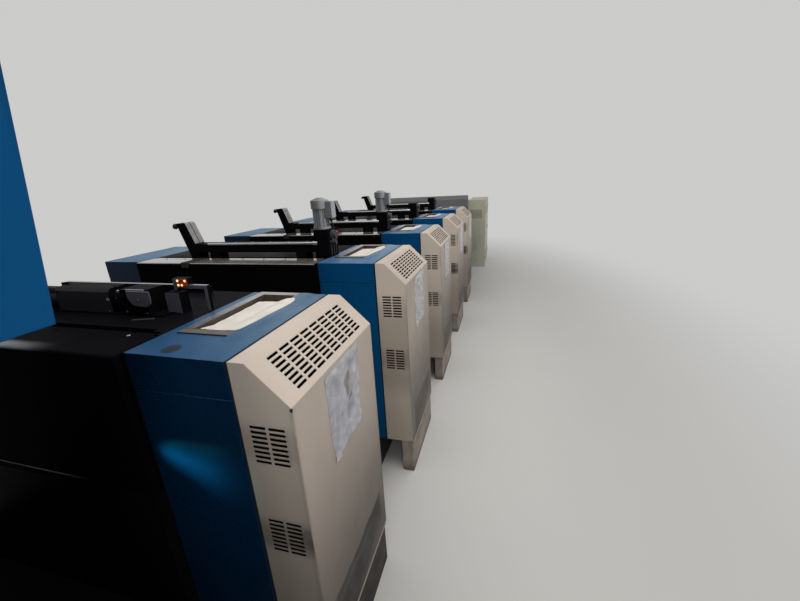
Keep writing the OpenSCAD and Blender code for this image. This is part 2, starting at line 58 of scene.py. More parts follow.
OPERATOR_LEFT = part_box("operator_housing_1")[0].x - JOINT_X
GUARD_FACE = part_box("front_guard_1")[0].y - FACE_Y
GUARD_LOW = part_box("front_guard_1")[0].z
# Sheet metal and folds of the cabinets, from the joint and from the top
SHEET, FLAT, SLOPE_DROP = 0.003, 0.053, 0.120
INNER = 0.8 * SHEET
SLOPE_NORMAL = Vector((SLOPE_DROP, 0.0, CABINET_OUT - FLAT)).normalized()
# Trays in the drive housings' tops
TRAY_DEPTH, BEZEL_HEIGHT = 0.026, 0.004
TRAY_X, TRAY_Y = (-0.2765, -0.1265), (0.1885, 0.5715)
# Agitators: the beams, the guide rods before them, and the arms' inner side at the foot
BEAM_LEFT, BEAM_RIGHT, BEAM_FRONT, BEAM_BACK, BEAM_TOP = -1.397, -0.440, 0.155, 0.245, 0.092
ROD, ARM_FOOT, ARM_HEAD = 0.008, 0.046, 0.226
# Upright motors: axis, foot and head
MOTOR_X, MOTOR_Y, MOTOR_FOOT, MOTOR_HEAD = BEAM_RIGHT + 0.094 / 3, BEAM_FRONT + 0.067, 0.1723, 0.3443
# Delivery and feeder
DELIVERY_LEFT, DELIVERY_RIGHT, DELIVERY_END, DELIVERY_START = -1.885, -0.120, -2.820, -0.620
HOOD_BOTTOM, HOOD_TOP, WINDOW_FOOT = 1.605, 2.060, 0.120
FEEDER_LEFT, FEEDER_RIGHT, FEEDER_START, FEEDER_TOP = -1.945, -0.060, 6.000, 1.250
PILE_START, PILE_BACK, BOARD_START = FEEDER_START + 0.950, FEEDER_START + 1.750, 5.411

# The camera, as the photograph's perspective gives it: its place from the first unit's corner,
# its turns in radians, and its lens in millimetres
CAMERA_PLACE = (0.697, -0.725, 0.429)
CAMERA_YAW, CAMERA_PITCH, CAMERA_ROLL = -0.2834, -0.3094, -0.0547
SENSOR, LENS = 36.0, 16.74
PALE_ROOM = (0.60, 0.60, 0.595, 1.0)
FLOOR_SIZE = 30.0

RIGHT, LEFT, REAR, FRONT, UP = (Vector(way) for way in (
    (1, 0, 0), (-1, 0, 0), (0, 1, 0), (0, -1, 0), (0, 0, 1)))


def at(k, x, y, z):
    """Point of unit k, from its joint between housing and cabinet, its near face and the floor."""
    return Vector((JOINT_X + x, FACE_Y + (k - 1) * PITCH + y, z))


def clamped(value):
    return max(0.0, min(1.0, value))


# Node trees

def linear(color, share=1.0):
    """Linear colour of an sRGB colour, darkened to a share."""
    def channel(value):
        value /= 255
        return share * (value / 12.92 if value <= 0.04045 else ((value + 0.055) / 1.055) ** 2.4)
    return tuple(channel(value) for value in color) + (1.0,)


class Shader:
    """A material's node tree, with one short method for each kind of node. Its tone is the
    colour that has been laid so far."""

    def __init__(self, name, tone=None):
        self.material = bpy.data.materials.new(name)
        self.material.use_nodes = True
        self.tree = self.material.node_tree
        self.bsdf = self.tree.nodes["Principled BSDF"]
        self.tone = tone

    def node(self, kind, inputs, **settings):
        made = self.tree.nodes.new("ShaderNode" + kind)
        for key, value in settings.items():
            setattr(made, key, value)
        self.feed(made, inputs)
        return made

    def feed(self, node, inputs):
        """Gives a node's inputs an output to follow, a number, a vector or an sRGB colour."""
        for key, value in inputs.items():
            socket = node.inputs[key]
            if hasattr(value, "is_output"):
                self.tree.links.new(value, socket)
            elif value is not None:
                as_color = socket.type == "RGBA" and len(value) == 3
                socket.default_value = linear(value) if as_color else value

    @cached_property
    def position(self):
        return self.node("TexCoord", {}).outputs["Object"]

    @cached_property
    def facing(self):
        return self.node("NewGeometry", {}).outputs["True Normal"]

    def scaled(self, scale):
        return self.node("Mapping", {"Vector": self.position, "Scale": scale}).outputs["Vector"]

    def noise(self, scale, detail=4.0, roughness=0.55, stretch=(1, 1, 1), distortion=0.0):
        return self.node("TexNoise", {
            "Vector": self.scaled(stretch), "Scale": scale, "Detail": detail, "Roughness": roughness,
            "Distortion": distortion}).outputs["Fac"]

    def ramp(self, value, low, high, to_low=0.0, to_high=1.0):
        return self.node("MapRange", {
            "Value": value, "From Min": low, "From Max": high, "To Min": to_low, "To Max": to_high},
            interpolation_type="SMOOTHSTEP").outputs["Result"]

    def grains(self, low, high, *settings, to_low=0.0, to_high=1.0):
        """Ramp of a noise."""
        return self.ramp(self.noise(*settings), low, high, to_low, to_high)

    def math(self, operation, a, b):
        return self.node("Math", {0: a, 1: b}, operation=operation).outputs[0]

    def times(self, *values):
        return reduce(lambda a, b: self.math("MULTIPLY", a, b), values)

    def plus(self, a, b):
        return self.math("ADD", a, b)

    def mix(self, share, a, b):
        return self.node("Mix", {"Factor": share, "A": a, "B": b}, data_type="RGBA").outputs["Result"]

    def lay(self, color, *shares):
        """Lays a colour over the tone, by the product of its shares."""
        self.tone = self.mix(self.times(*shares), self.tone, color)

    def place(self, axis):
        return self.node("SeparateXYZ", {0: self.position}).outputs[axis]

    def local_y(self):
        """Y from the near face of each unit."""
        return self.math("MODULO", self.plus(self.place("Y"), 20 * PITCH - FACE_Y), PITCH)

    def looks(self, axis, low, high):
        """Ramp of how far a face looks along an axis."""
        return self.ramp(self.node("SeparateXYZ", {0: self.facing}).outputs[axis], low, high)

    def looks_up(self):
        return self.looks("Z", 0.3, 0.95)

    def looks_near(self):
        return self.looks("Y", -0.5, -0.95)

    def window(self, value, low, high, soft):
        """1 where the value lies between low and high, with soft ends."""
        return self.times(self.ramp(value, low - soft, low + soft),
                          self.ramp(value, high + soft, high - soft))

    def unit(self, k):
        """1 on unit k."""
        start = FACE_Y + (k - 1) * PITCH
        return self.window(self.place("Y"), start - 0.2, start + 0.9, 0.05)

    def near(self, place, radius, soft):
        """1 within a radius of a place, fading out over soft."""
        gap = self.node("VectorMath", {0: self.position, 1: place}, operation="DISTANCE")
        return self.ramp(gap.outputs["Value"], radius + soft, radius)

    def rounded(self, radius):
        """Normal that rounds the edges off."""
        return self.node("Bevel", {"Radius": radius}, samples=6).outputs["Normal"]

    def edges(self, normal):
        """Mask of the edges, from the difference of the rounded and the true normal."""
        dot = self.node("VectorMath", {0: normal, 1: self.facing}, operation="DOT_PRODUCT")
        return self.ramp(dot.outputs["Value"], 0.995, 0.90)

    def bump(self, height, strength, distance, normal=None):
        return self.node("Bump", {"Height": height, "Strength": strength, "Distance": distance,
                                  "Normal": normal}).outputs["Normal"]

    def finish(self, roughness, normal, metallic=0.0, specular=0.5, coat=0.0, glow=0.0):
        self.feed(self.bsdf, {"Base Color": self.tone, "Roughness": roughness, "Metallic": metallic,
                              "Normal": normal, "Specular IOR Level": specular, "Coat Weight": coat})
        if glow:
            self.feed(self.bsdf, {"Emission Color": self.tone, "Emission Strength": glow})
        return self.material


def paint(name, color, rough, dust_color, dust, grime_color, grime, wear_color=(120, 118, 112),
          wear=0.4, peel=0.05, fold=0.003, specular=0.5, coat=0.0, spots=(), vary=None):
    """Sprayed machine paint: cloudy tone, dust on what looks up, runs of grime on what stands
    upright, edges worn by hands, and dark spots of spilt ink at given places."""
    s = Shader(name, color)
    s.lay(linear(color, 0.84), s.grains(0.35, 0.7, 1.7, 5.0))
    blotch = s.noise(9.0, 6.0, 0.65)
    if vary:
        dust = vary(s)
    dust_share = s.times(s.looks_up(), s.grains(0.3, 0.72, 3.5, 6.0, 0.6, (2.2, 0.6, 1.0), 0.6,
                                                to_low=0.45), dust)
    s.lay(dust_color, dust_share)
    s.lay(grime_color, s.grains(0.48, 0.72, 14.0, 5.0, 0.6, (1.0, 1.0, 0.07)), s.ramp(blotch, 0.3, 0.7),
          s.ramp(s.place("Z"), 0.9, 0.1, 0.25, 1.0), grime)
    for place, radius in spots:
        s.lay((24, 26, 32), s.near(place, radius, 0.45 * radius),
              s.grains(0.3, 0.7, 60.0, 4.0, to_low=0.75))
    normal = s.rounded(fold)
    s.lay(wear_color, s.edges(normal), s.grains(0.50, 0.64, 55.0, 4.0, 0.7),
          s.ramp(s.place("Z"), TOP - 0.05, TOP - 0.01, 0.35, 1.0), wear)
    roughness = s.plus(s.ramp(blotch, 0.2, 0.8, rough - 0.04, rough + 0.07), s.times(dust_share, 0.3))
    return s.finish(roughness, s.bump(s.noise(330.0, 2.0), peel, 0.0006, normal),
                    specular=specular, coat=coat)


# Changes of the paints from place to place, painted light and shade among them. Each gives the share of dust on
# the faces that look up

def first_guard_sheen(s):
    """Painted reflection along the near edge of the first guard's top, on the operator's side, and a painted
    highlight down the guard's drive-side end.
    """
    x, y = s.place("X"), s.place("Y")
    # Painted reflection of the bright room on the top's near edge
    s.lay((136, 140, 146), s.ramp(x, JOINT_X - 0.62, JOINT_X - 0.86),
          s.ramp(y, FACE_Y + 0.030, FACE_Y - 0.004),
          s.grains(0.25, 0.6, 20.0, 5.0, 0.7, to_low=0.6), s.looks_up(), 0.8)
    # Painted highlight down the guard's drive-side end
    s.lay((110, 106, 104), s.ramp(x, JOINT_X - 0.3585, JOINT_X - 0.3565),
          s.ramp(y, FACE_Y - 0.006, FACE_Y - 0.014), 0.5)
    return 0.015


def motor_light_and_shade(s):
    """Grey of the motors, with painted shade on the faces that look to the operator's side and a painted highlight
    on those that look to the drive side.
    """
    units = s.ramp(s.place("Y"), FACE_Y + 5.0, FACE_Y + 4.9)
    s.lay((52, 54, 58), units, s.looks("X", 0.0, -0.6), 0.45)
    s.lay((178, 182, 188), units, s.looks("X", 0.0, 0.7), 0.75)
    return 0.4


def by_unit_shade_and_dust(s):
    """Painted shade of the delivery's hood on the first unit's drive-side housing, whose lid is dusty to the rear
    only, painted shade on the near faces on the operator's side, and thick dust on the lids of the others."""
    x, y = s.place("X"), s.place("Y")
    first = s.times(s.unit(1), s.ramp(x, JOINT_X - 1.0, JOINT_X - 0.9))
    # Painted shade on the first unit, darker on the faces that do not look up
    s.lay(s.mix(s.looks_up(), (6, 35, 60), (7, 64, 102)), first)
    # Painted shade on the near faces on the operator's side
    s.lay((13, 20, 28), s.looks_near(), s.ramp(x, JOINT_X - 1.0, JOINT_X - 1.05),
          s.window(y, FACE_Y - 0.1, FACE_Y + 5.5, 0.02), 0.85)
    lids = s.window(s.place("Z"), TOP - 0.1, TOP + 0.1, 0.01)
    others = s.plus(0.3, s.times(lids, s.ramp(s.local_y(), 0.0, 0.5, 0.0, 0.45)))
    own = s.ramp(s.plus(x, y), JOINT_X + FACE_Y - 0.26, JOINT_X + FACE_Y + 0.34, 0.02, 0.5)
    return s.plus(s.times(first, own), s.times(s.math("SUBTRACT", 1.0, first), others))


def cream_paint():
    """Cream paint of the side cabinets, grimy round the vents, darker low down from grime and painted shade, with
    painted light and shade on the near faces, a dark ragged band on the face by the walkway and a painted
    highlight along its foot."""
    s = Shader("cream_paint", (188, 176, 165))
    x, y, z, along = s.place("X"), s.place("Y"), s.place("Z"), s.local_y()
    near, outward = s.looks_near(), s.looks("X", 0.8, 0.98)
    first, second = s.unit(1), s.unit(2)
    blotch = s.noise(9.0, 7.0, 0.62)
    low = s.ramp(z, 1.05, 0.2, 0.08, 0.75)
    s.lay((176, 164, 154), s.grains(0.3, 0.72, 1.9, 5.0))
    s.lay((138, 130, 116), s.grains(0.45, 0.75, 3.4, 5.0, 0.55, (1.0, 1.0, 0.45)), low)
    s.lay((118, 108, 94), s.grains(0.52, 0.74, 10.0, 5.0, 0.6, (1.0, 1.0, 0.05)), low, 0.35)
    # Darker towards the bottom, partly grime and partly painted shade
    s.lay((92, 84, 77), s.ramp(z, 1.12, 0.45, 0.0, 0.88),
          s.ramp(s.times(near, s.ramp(first, 0.0, 1.0, 1.0, 0.6)), 0.0, 1.0, 1.0, 0.35))
    # On the near faces: a greyer tone, painted light towards the top, painted shade on the first unit's face by
    # the joint, more painted light at its top, and a darker band across the second unit's face
    s.lay((166, 160, 142), near, 0.3)
    s.lay((240, 224, 208), near, s.ramp(first, 0.0, 1.0, 0.8, 0.0), s.ramp(z, 0.4, 1.15, 0.35, 1.0))
    s.lay((96, 90, 80), near, first, s.ramp(x, JOINT_X + 0.02, JOINT_X + 0.13, 0.30, 0.0))
    s.lay((222, 210, 198), near, first, s.ramp(z, 1.15, 1.25), 0.2)
    s.lay((60, 54, 50), near, second, s.window(z, 0.60, 1.14, 0.10), 0.38)
    # Dirt blown out of the vents, most of it low down, and less on the second and third unit
    cleaner = s.window(y, FACE_Y + PITCH - 0.2, FACE_Y + 3 * PITCH - 0.2, 0.05)
    for middle, share in ((TOP - 0.25, 0.3), (TOP - 0.585, 0.9)):
        s.lay((84, 76, 68), s.window(z, middle - 0.055, middle + 0.055, 0.03), near,
              s.ramp(blotch, 0.35, 0.65, 0.5, 1.0), s.plus(s.times(cleaner, -0.6 * share), share))
    # Dark ragged band on the face by the walkway, and painted shade with grime down to the foot on the first unit
    s.lay((48, 42, 39), first, outward, s.ramp(z, 0.46, 0.30), 0.62)
    ragged = s.grains(0.3, 0.7, 9.0, 5.0, 0.6, to_low=-0.012, to_high=0.012)
    s.lay((27, 23, 21), s.times(s.ramp(s.plus(z, ragged), 0.472, 0.458),
                                s.ramp(s.plus(z, s.times(along, -0.35)), 0.115, 0.165),
                                s.window(along, 0.07, 0.555, 0.03), outward),
          s.grains(0.34, 0.60, 7.0, 8.0, 0.7, (1.0, 0.35, 3.0), to_low=0.72),
          s.ramp(first, 0.0, 1.0, 0.7, 1.0))
    # Painted highlight along the foot of the outer face
    s.lay((186, 176, 166), s.ramp(z, HOUSING_BOTTOM + 0.005, HOUSING_BOTTOM + 0.0035), outward, 0.8)
    s.lay((96, 84, 70), s.grains(0.70, 0.76, 95.0, 3.0, 0.6), 0.3)
    # The upright fold by the walkway is rounder than the others
    fold = s.times(s.ramp(x, JOINT_X + 0.140, JOINT_X + 0.150), s.ramp(z, TOP - 0.118, TOP - 0.135))
    normal = s.rounded(s.plus(s.times(fold, 0.011), 0.003))
    s.lay((132, 120, 104), s.edges(normal), s.grains(0.50, 0.64, 42.0, 5.0, 0.7), 0.4)
    # Chip at the first cabinet's corner, down to the dark primer
    s.lay((38, 34, 34), s.near(at(1, CABINET_OUT, 0.0, TOP - 0.127), 0.0045, 0.004))
    return s.finish(s.ramp(blotch, 0.25, 0.8, 0.36, 0.5),
                    s.bump(s.noise(260.0, 2.0), 0.07, 0.0007, normal), specular=0.2)


def plinth_paint():
    """Cream paint of the plinths, nearly black on the first one with painted shade and dirt."""
    s = Shader("plinth_paint", (178, 167, 157))
    blotch = s.noise(7.0, 6.0, 0.65)
    s.lay((142, 132, 122), s.ramp(blotch, 0.3, 0.7))
    s.lay((84, 76, 68), s.ramp(s.place("Z"), 0.06, 0.01), 0.6)
    # Painted shade and dirt on the first unit's plinth
    s.lay(s.mix(s.ramp(blotch, 0.35, 0.65), (56, 49, 46), (38, 33, 31)), s.unit(1))
    return s.finish(s.ramp(blotch, 0.2, 0.8, 0.5, 0.65),
                    s.bump(s.noise(240.0, 2.0), 0.08, 0.0007, s.rounded(0.003)), specular=0.2)


def plain(name, color, other, rough, scale=20.0, peel=0.1, **more):
    """Even finish with a faint change of tone and a fine grain."""
    s = Shader(name, color)
    s.lay(other, s.grains(0.35, 0.68, scale, 5.0, 0.6))
    grain = s.noise(scale * 16.0, 3.0)
    return s.finish(s.ramp(grain, 0.2, 0.8, rough - 0.05, rough + 0.08), s.bump(grain, peel, 0.0006), **more)


def metal(name, color, rough, brushed=(1.0, 1.0, 1.0), soil=0.3):
    """Bare metal with brushing along one axis and a film of old oil."""
    s = Shader(name, color)
    grain = s.noise(180.0, 3.0, 0.6, brushed)
    s.lay(linear(color, 0.8), s.ramp(grain, 0.3, 0.7))
    s.lay((58, 46, 34), s.grains(0.45, 0.75, 7.0, 6.0, 0.65), soil)
    return s.finish(s.ramp(grain, 0.2, 0.8, rough - 0.06, rough + 0.12), s.bump(grain, 0.1, 0.0004),
                    metallic=1.0)


def bezel_metal():
    """Bare frame of the trays, stained by ink, with the lid's blue carried over its drive side."""
    s = Shader("bezel_steel", (98, 92, 86))
    grain, film = s.noise(180.0, 3.0, 0.6, (1.0, 8.0, 1.0)), s.noise(8.0, 6.0, 0.65)
    y = s.local_y()
    s.lay((80, 74, 68), s.ramp(grain, 0.3, 0.7))
    s.lay(s.mix(s.ramp(y, 0.22, 0.50), (86, 92, 106), (150, 149, 152)), s.ramp(y, 0.19, 0.21))
    s.lay((62, 54, 48), s.ramp(film, 0.42, 0.72), s.ramp(y, 0.19, 0.40, 0.8, 0.35))
    seams = s.plus(s.ramp(y, 0.1585, 0.1545), s.times(s.window(y, 0.1835, 0.1900, 0.002), 0.7))
    s.lay((24, 26, 32), seams, s.ramp(grain, 0.1, 0.5, 0.7, 1.0))
    s.lay((34, 76, 106), s.ramp(s.plus(s.place("X"), s.ramp(film, 0.3, 0.7, -0.006, 0.006)),
                                JOINT_X - 0.128, JOINT_X - 0.112))
    normal = s.rounded(0.002)
    s.lay((60, 54, 52), s.edges(normal), s.ramp(film, 0.4, 0.6), 0.5)
    return s.finish(s.ramp(grain, 0.2, 0.8, 0.36, 0.52), s.bump(grain, 0.1, 0.0004, normal), metallic=0.25)


def tread():
    """Worn tread plate: raised bars laid crosswise, dirt in between."""
    s = Shader("tread_plate", (62, 62, 64))
    cells = s.node("TexVoronoi", {"Vector": s.scaled((1.0, 2.4, 1.0)), "Scale": 34.0})
    raised, dirt = s.ramp(cells.outputs["Distance"], 0.42, 0.25), s.noise(6.0, 6.0, 0.6)
    s.lay((132, 132, 134), raised)
    s.lay((40, 36, 32), s.ramp(dirt, 0.45, 0.7), 0.6)
    return s.finish(s.ramp(dirt, 0.3, 0.7, 0.32, 0.6), s.bump(raised, 0.5, 0.002), metallic=0.7)


def sleeve_film():
    """Clear film over a white sheet, gone cloudy, with smears of ink on the first one."""
    s = Shader("sleeve_film", (196, 194, 195))
    y, z = s.place("Y"), s.place("Z")
    s.lay((168, 168, 173), s.grains(0.3, 0.75, 14.0, 6.0, 0.6))
    s.lay(s.mix(s.grains(0.3, 0.75, 17.0, 6.0, 0.6), (184, 183, 191), (138, 139, 150)),
          s.ramp(y, FACE_Y + 0.9, FACE_Y + 0.8))
    wander = s.grains(0.3, 0.7, 22.0, 5.0, 0.6, to_low=-0.012, to_high=0.012)
    for low_y, high_y, low_z, high_z, soft, share, color in (
            (0.322, 0.348, 1.125, 1.200, 0.012, 0.9, (116, 104, 78)),
            (0.335, 0.362, 1.094, 1.114, 0.007, 0.95, (40, 46, 88)),
            (0.312, 0.338, 1.030, 1.098, 0.012, 0.6, (100, 100, 110))):
        s.lay(color, s.window(s.plus(y, wander), FACE_Y + low_y, FACE_Y + high_y, soft),
              s.window(s.plus(z, wander), low_z, high_z, soft), share)
    creases = s.noise(26.0, 6.0, 0.7, (1.0, 1.0, 0.6), 0.8)
    return s.finish(s.grains(0.3, 0.7, 40.0, to_low=0.12, to_high=0.3), s.bump(creases, 0.35, 0.003),
                    coat=0.4)


def liner_paper():
    """White paper laid in the trays, with faint prints of cans and a smear."""
    s = Shader("liner_paper", (204, 199, 191))
    s.lay((190, 185, 177), s.grains(0.35, 0.7, 6.0, 5.0, 0.6))
    s.lay((150, 142, 128), s.grains(0.62, 0.72, 11.0, 6.0, 0.7), 0.25)
    s.lay((96, 108, 130), s.near(at(1, -0.185, 0.385, TOP), 0.006, 0.010), 0.5)
    return s.finish(0.7, s.bump(s.noise(30.0, 5.0), 0.15, 0.0015))


# Blue enamel, with painted shade on the first unit and on the near faces on the operator's side
BLUE = paint("blue_paint", (10, 80, 130), 0.27, (132, 150, 160), 0.15, (6, 14, 28), 0.4, (110, 128, 140),
             0.22, fold=0.0035, specular=0.05, vary=by_unit_shade_and_dust, spots=((at(1, -0.228, 0.046, TOP), 0.023),))
BLACK = paint("black_paint", (15, 15, 18), 0.3, (66, 64, 64), 0.03, (30, 27, 25), 0.12, (66, 66, 68),
              0.12, specular=0.003)
# Black of the guards, with a painted reflection and a painted highlight on the first one
GUARD = paint("black_guard", (12, 11, 14), 0.3, (90, 88, 88), 0.015, (24, 22, 22), 0.1, (60, 60, 66),
              0.14, fold=0.004, specular=0.001, vary=first_guard_sheen)
GLOSSY_TOP = paint("glossy_black_top", (14, 14, 15), 0.12, (186, 178, 170), 0.42, (40, 36, 34), 0.1,
                   (120, 118, 116), 0.3, fold=0.004, specular=0.8, coat=1.0)
CAST = paint("dark_casting", (54, 54, 57), 0.42, (90, 88, 84), 0.3, (24, 22, 20), 0.5, (120, 120, 120),
             0.4, peel=0.3, fold=0.0015, specular=0.3)
# Lighter grey that paints the sheen on the near faces of the first unit's cowl
COWL_SHEEN = paint("drive_cowl_sheen", (48, 48, 52), 0.4, (66, 64, 66), 0.1, (24, 22, 24), 0.5, (84, 82, 88), 0.3,
             fold=0.004, specular=0.02)
# Lighter grey that paints the sheen of the first unit's bearing block, bracket and gear cover
CAST_SHEEN = paint("casting_sheen", (92, 88, 98), 0.42, (84, 80, 86), 0.25, (26, 24, 28), 0.6,
                    (132, 130, 138), 0.4, peel=0.12, specular=0.1)
BASE = paint("dark_base", (40, 42, 46), 0.5, (96, 92, 86), 0.5, (24, 22, 20), 0.6)
# Grey of the motors, with painted light and shade on their sides
GREY = paint("motor_grey", (112, 114, 117), 0.5, (128, 126, 122), 0.4, (40, 38, 36), 0.5, (170, 170, 168),
             0.3, peel=0.2, fold=0.001, vary=motor_light_and_shade)
PALE = paint("pale_paint", (206, 204, 180), 0.4, (200, 198, 184), 0.3, (120, 116, 98), 0.4,
             (140, 138, 126), 0.3)
CREAM, PLINTH = cream_paint(), plinth_paint()
BEZEL, TREAD, SLEEVE, LINER = bezel_metal(), tread(), sleeve_film(), liner_paper()
STEEL = metal("bright_steel", (196, 197, 198), 0.28, (1.0, 14.0, 14.0))
ZINC = metal("zinc_steel", (178, 178, 176), 0.36, soil=0.2)
INSIDE = plain("dark_interior", (12, 11, 10), (22, 20, 18), 0.9, specular=0.1)
RECESS = plain("tray_recess", (88, 74, 64), (60, 50, 42), 0.6, 14.0)
RUBBER = plain("black_rubber", (22, 22, 23), (30, 30, 30), 0.65, 40.0, specular=0.3)
PANEL = plain("end_panel", (140, 139, 140), (120, 119, 120), 0.5, 12.0)
TAPE = plain("clear_tape", (196, 194, 186), (176, 174, 166), 0.22, 30.0)
AMBER = plain("amber_lens", (255, 176, 104), (255, 190, 130), 0.3, glow=1.6)
AMBER_PLATE = plain("amber_plate", (120, 40, 8), (96, 28, 6), 0.4, glow=0.5)
GREEN = plain("green_button", (26, 112, 62), (20, 98, 52), 0.35)
SMOKED = plain("smoked_window", (16, 18, 20), (10, 12, 14), 0.08, 6.0, 0.02)
RED = plain("red_lens", (190, 30, 24), (170, 26, 22), 0.25)

NODE_MATERIALS = {kind: material for material, kinds in (
    (BLUE, "drive_housing operator_housing delivery_frame delivery_hood feeder_frame"),
    (BLACK, "unit_body agitator_rail delivery_duct"), (GUARD, "front_guard"), (CREAM, "side_cabinet"),
    (PLINTH, "cabinet_plinths"), (GREY, "agitator_motors feeder_head"),
    (STEEL, "plate_cylinders feed_board"), (BASE, "press_bed pile_boards"), (TREAD, "footboards"),
    (PALE, "feeder_cabinet")) for kind in kinds.split()}


# Materials of the CAD nodes

def assign_faces(node, material, chosen):
    """Gives the faces of a node for which chosen(centre, normal) is true another material."""
    mesh = NODES[node].data
    mesh.materials.append(material)
    last = len(mesh.materials) - 1
    for polygon in mesh.polygons:
        if chosen(polygon.center, polygon.normal):
            polygon.material_index = last


def dress_nodes():
    """Gives each CAD node its material."""
    for name, node in NODES.items():
        node.data.materials.clear()
        node.data.materials.append(NODE_MATERIALS[name.rstrip("0123456789").rstrip("_")])


def dress_cabinet(k):
    """Dark paint on the inner side of a cabinet's sheet metal and on its vents' lips."""
    low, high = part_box(f"side_cabinet_{k}")
    fold = at(k, FLAT, 0.0, TOP)

    def inner(c):
        return (all(low[axis] + INNER < c[axis] < high[axis] - INNER for axis in range(3))
                and (c - fold).dot(SLOPE_NORMAL) < -INNER)

    def lip(c, n):
        return (low.y + 0.0002 < c.y < low.y + SHEET and abs(n.y) < 0.5
                and low.x + 0.01 < c.x < high.x - 0.01 and 0.6 < c.z < TOP - 0.15)
    assign_faces(f"side_cabinet_{k}", INSIDE, lambda c, n: inner(c) or lip(c, n))


def dress_tray(k):
    """Bare bezel and stained walls of the tray in a drive housing's top."""
    low = at(k, TRAY_X[0] - 0.004, TRAY_Y[0] - 0.004, TOP - TRAY_DEPTH - 0.001)
    high = at(k, TRAY_X[1] + 0.004, TRAY_Y[1] + 0.004, TOP + 0.0035)
    assign_faces(f"drive_housing_{k}", BEZEL, lambda c, n: c.z > TOP + 0.0005)
    assign_faces(f"drive_housing_{k}", RECESS,
                 lambda c, n: all(low[axis] < c[axis] < high[axis] for axis in range(3)))


def dress_top(k):
    """Glossy top of a guard, and bare metal on the rods and the gearbox's side of its agitator."""
    left, front, top = at(k, BEAM_LEFT + 0.15, BEAM_FRONT, TOP + BEAM_TOP)
    assign_faces(f"agitator_rail_{k}", STEEL, lambda c, n: (
        left < c.x < JOINT_X + BEAM_RIGHT + 0.05 and top - 0.015 < c.z < top + 0.015
        and (c.y < front - 0.0004 or (c.y < front + ROD and c.z > top + 0.0004 and c.x < left + 1.0))))
    assign_faces(f"front_guard_{k}", GLOSSY_TOP, lambda c, n: n.z > 0.7 and c.z > TOP - 0.010)
    assign_faces(f"agitator_rail_{k}", CAST, lambda c, n: c.x > JOINT_X + MIDDLE_RIGHT + 0.0095)


def dress_first_rail():
    """Painted sheen: lighter grey on the near faces of the first unit's bearing block, bracket and cowl.
    Bright edges on its bar."""
    left, block, right, cowl = (JOINT_X + x for x in (-0.522, -0.452, -0.360, -0.730))
    front, back = FACE_Y + 0.300, FACE_Y + 0.370
    for material, chosen in (
            (CAST_SHEEN, lambda c, n: n.y < -0.7 and left < c.x < right and front < c.y < back
             and (c.x < block or c.z > TOP + 0.02) and c.z > TOP + 0.008),
            (COWL_SHEEN, lambda c, n: n.y < -0.7 and c.x < cowl and c.y < front - 0.010 and c.z > TOP + 0.008),
            (ZINC, lambda c, n: n.z > 0.7 and c.y > back - 0.010 and TOP + 0.0985 < c.z < TOP + 0.102)):
        assign_faces("agitator_rail_1", material, chosen)


def slim_arm(k):
    """Copy of an upright agitator with an arm of one width, in place of the CAD node."""
    node = NODES[f"agitator_rail_{k}"]
    copy = bpy.data.objects.new(f"agitator_rail_shape_{k}", node.data.copy())
    bpy.context.scene.collection.objects.link(copy)
    copy.matrix_world = node.matrix_world
    for vertex in copy.data.vertices:
        spot = node.matrix_world @ vertex.co
        for x, z, goal in ((BEAM_LEFT + 0.095, BEAM_TOP, BEAM_LEFT + ARM_FOOT),
                           (BEAM_LEFT + 0.005, ARM_HEAD, BEAM_LEFT),
                           (BEAM_LEFT - 0.080, 0.234, BEAM_LEFT - 0.072)):
            if abs(spot.x - JOINT_X - x) < 0.002 and abs(spot.z - TOP - z) < 0.002:
                vertex.co.x += goal - x
    copy.data.update()
    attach(copy, "root")
    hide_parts(f"agitator_rail_{k}")


# Meshes of the added pieces

def outward(verts, faces):
    """Turns the faces of a convex form so that they look outwards."""
    centre = sum(verts, Vector()) / len(verts)

    def looks_out(face):
        a, b, c = (verts[i] for i in face[:3])
        middle = sum((verts[i] for i in face), Vector()) / len(face)
        return (b - a).cross(c - b).dot(middle - centre) > 0
    return [face if looks_out(face) else face[::-1] for face in faces]


def chamfered_box(low, high, bevel):
    """Box with chamfered edges: its corners and its outward faces."""
    verts, faces = [], []
    for corner in range(8):
        pick = [(corner >> axis) & 1 for axis in range(3)]
        for own in range(3):
            verts.append(Vector([(low, high)[pick[axis]][axis] + (axis != own) * bevel * (1 - 2 * pick[axis])
                                 for axis in range(3)]))
    for axis in range(3):
        b, c = [other for other in range(3) if other != axis]
        corners = [(m << b) | (n << c) for m, n in ((0, 0), (1, 0), (1, 1), (0, 1))]
        for side in (0, 1):
            faces.append([3 * (corner | (side << axis)) + axis for corner in corners])
        for first in corners:
            second = first | (1 << axis)
            faces.append([3 * first + b, 3 * second + b, 3 * second + c, 3 * first + c])
    faces += [[3 * corner, 3 * corner + 1, 3 * corner + 2] for corner in range(8)]
    return verts, outward(verts, faces)


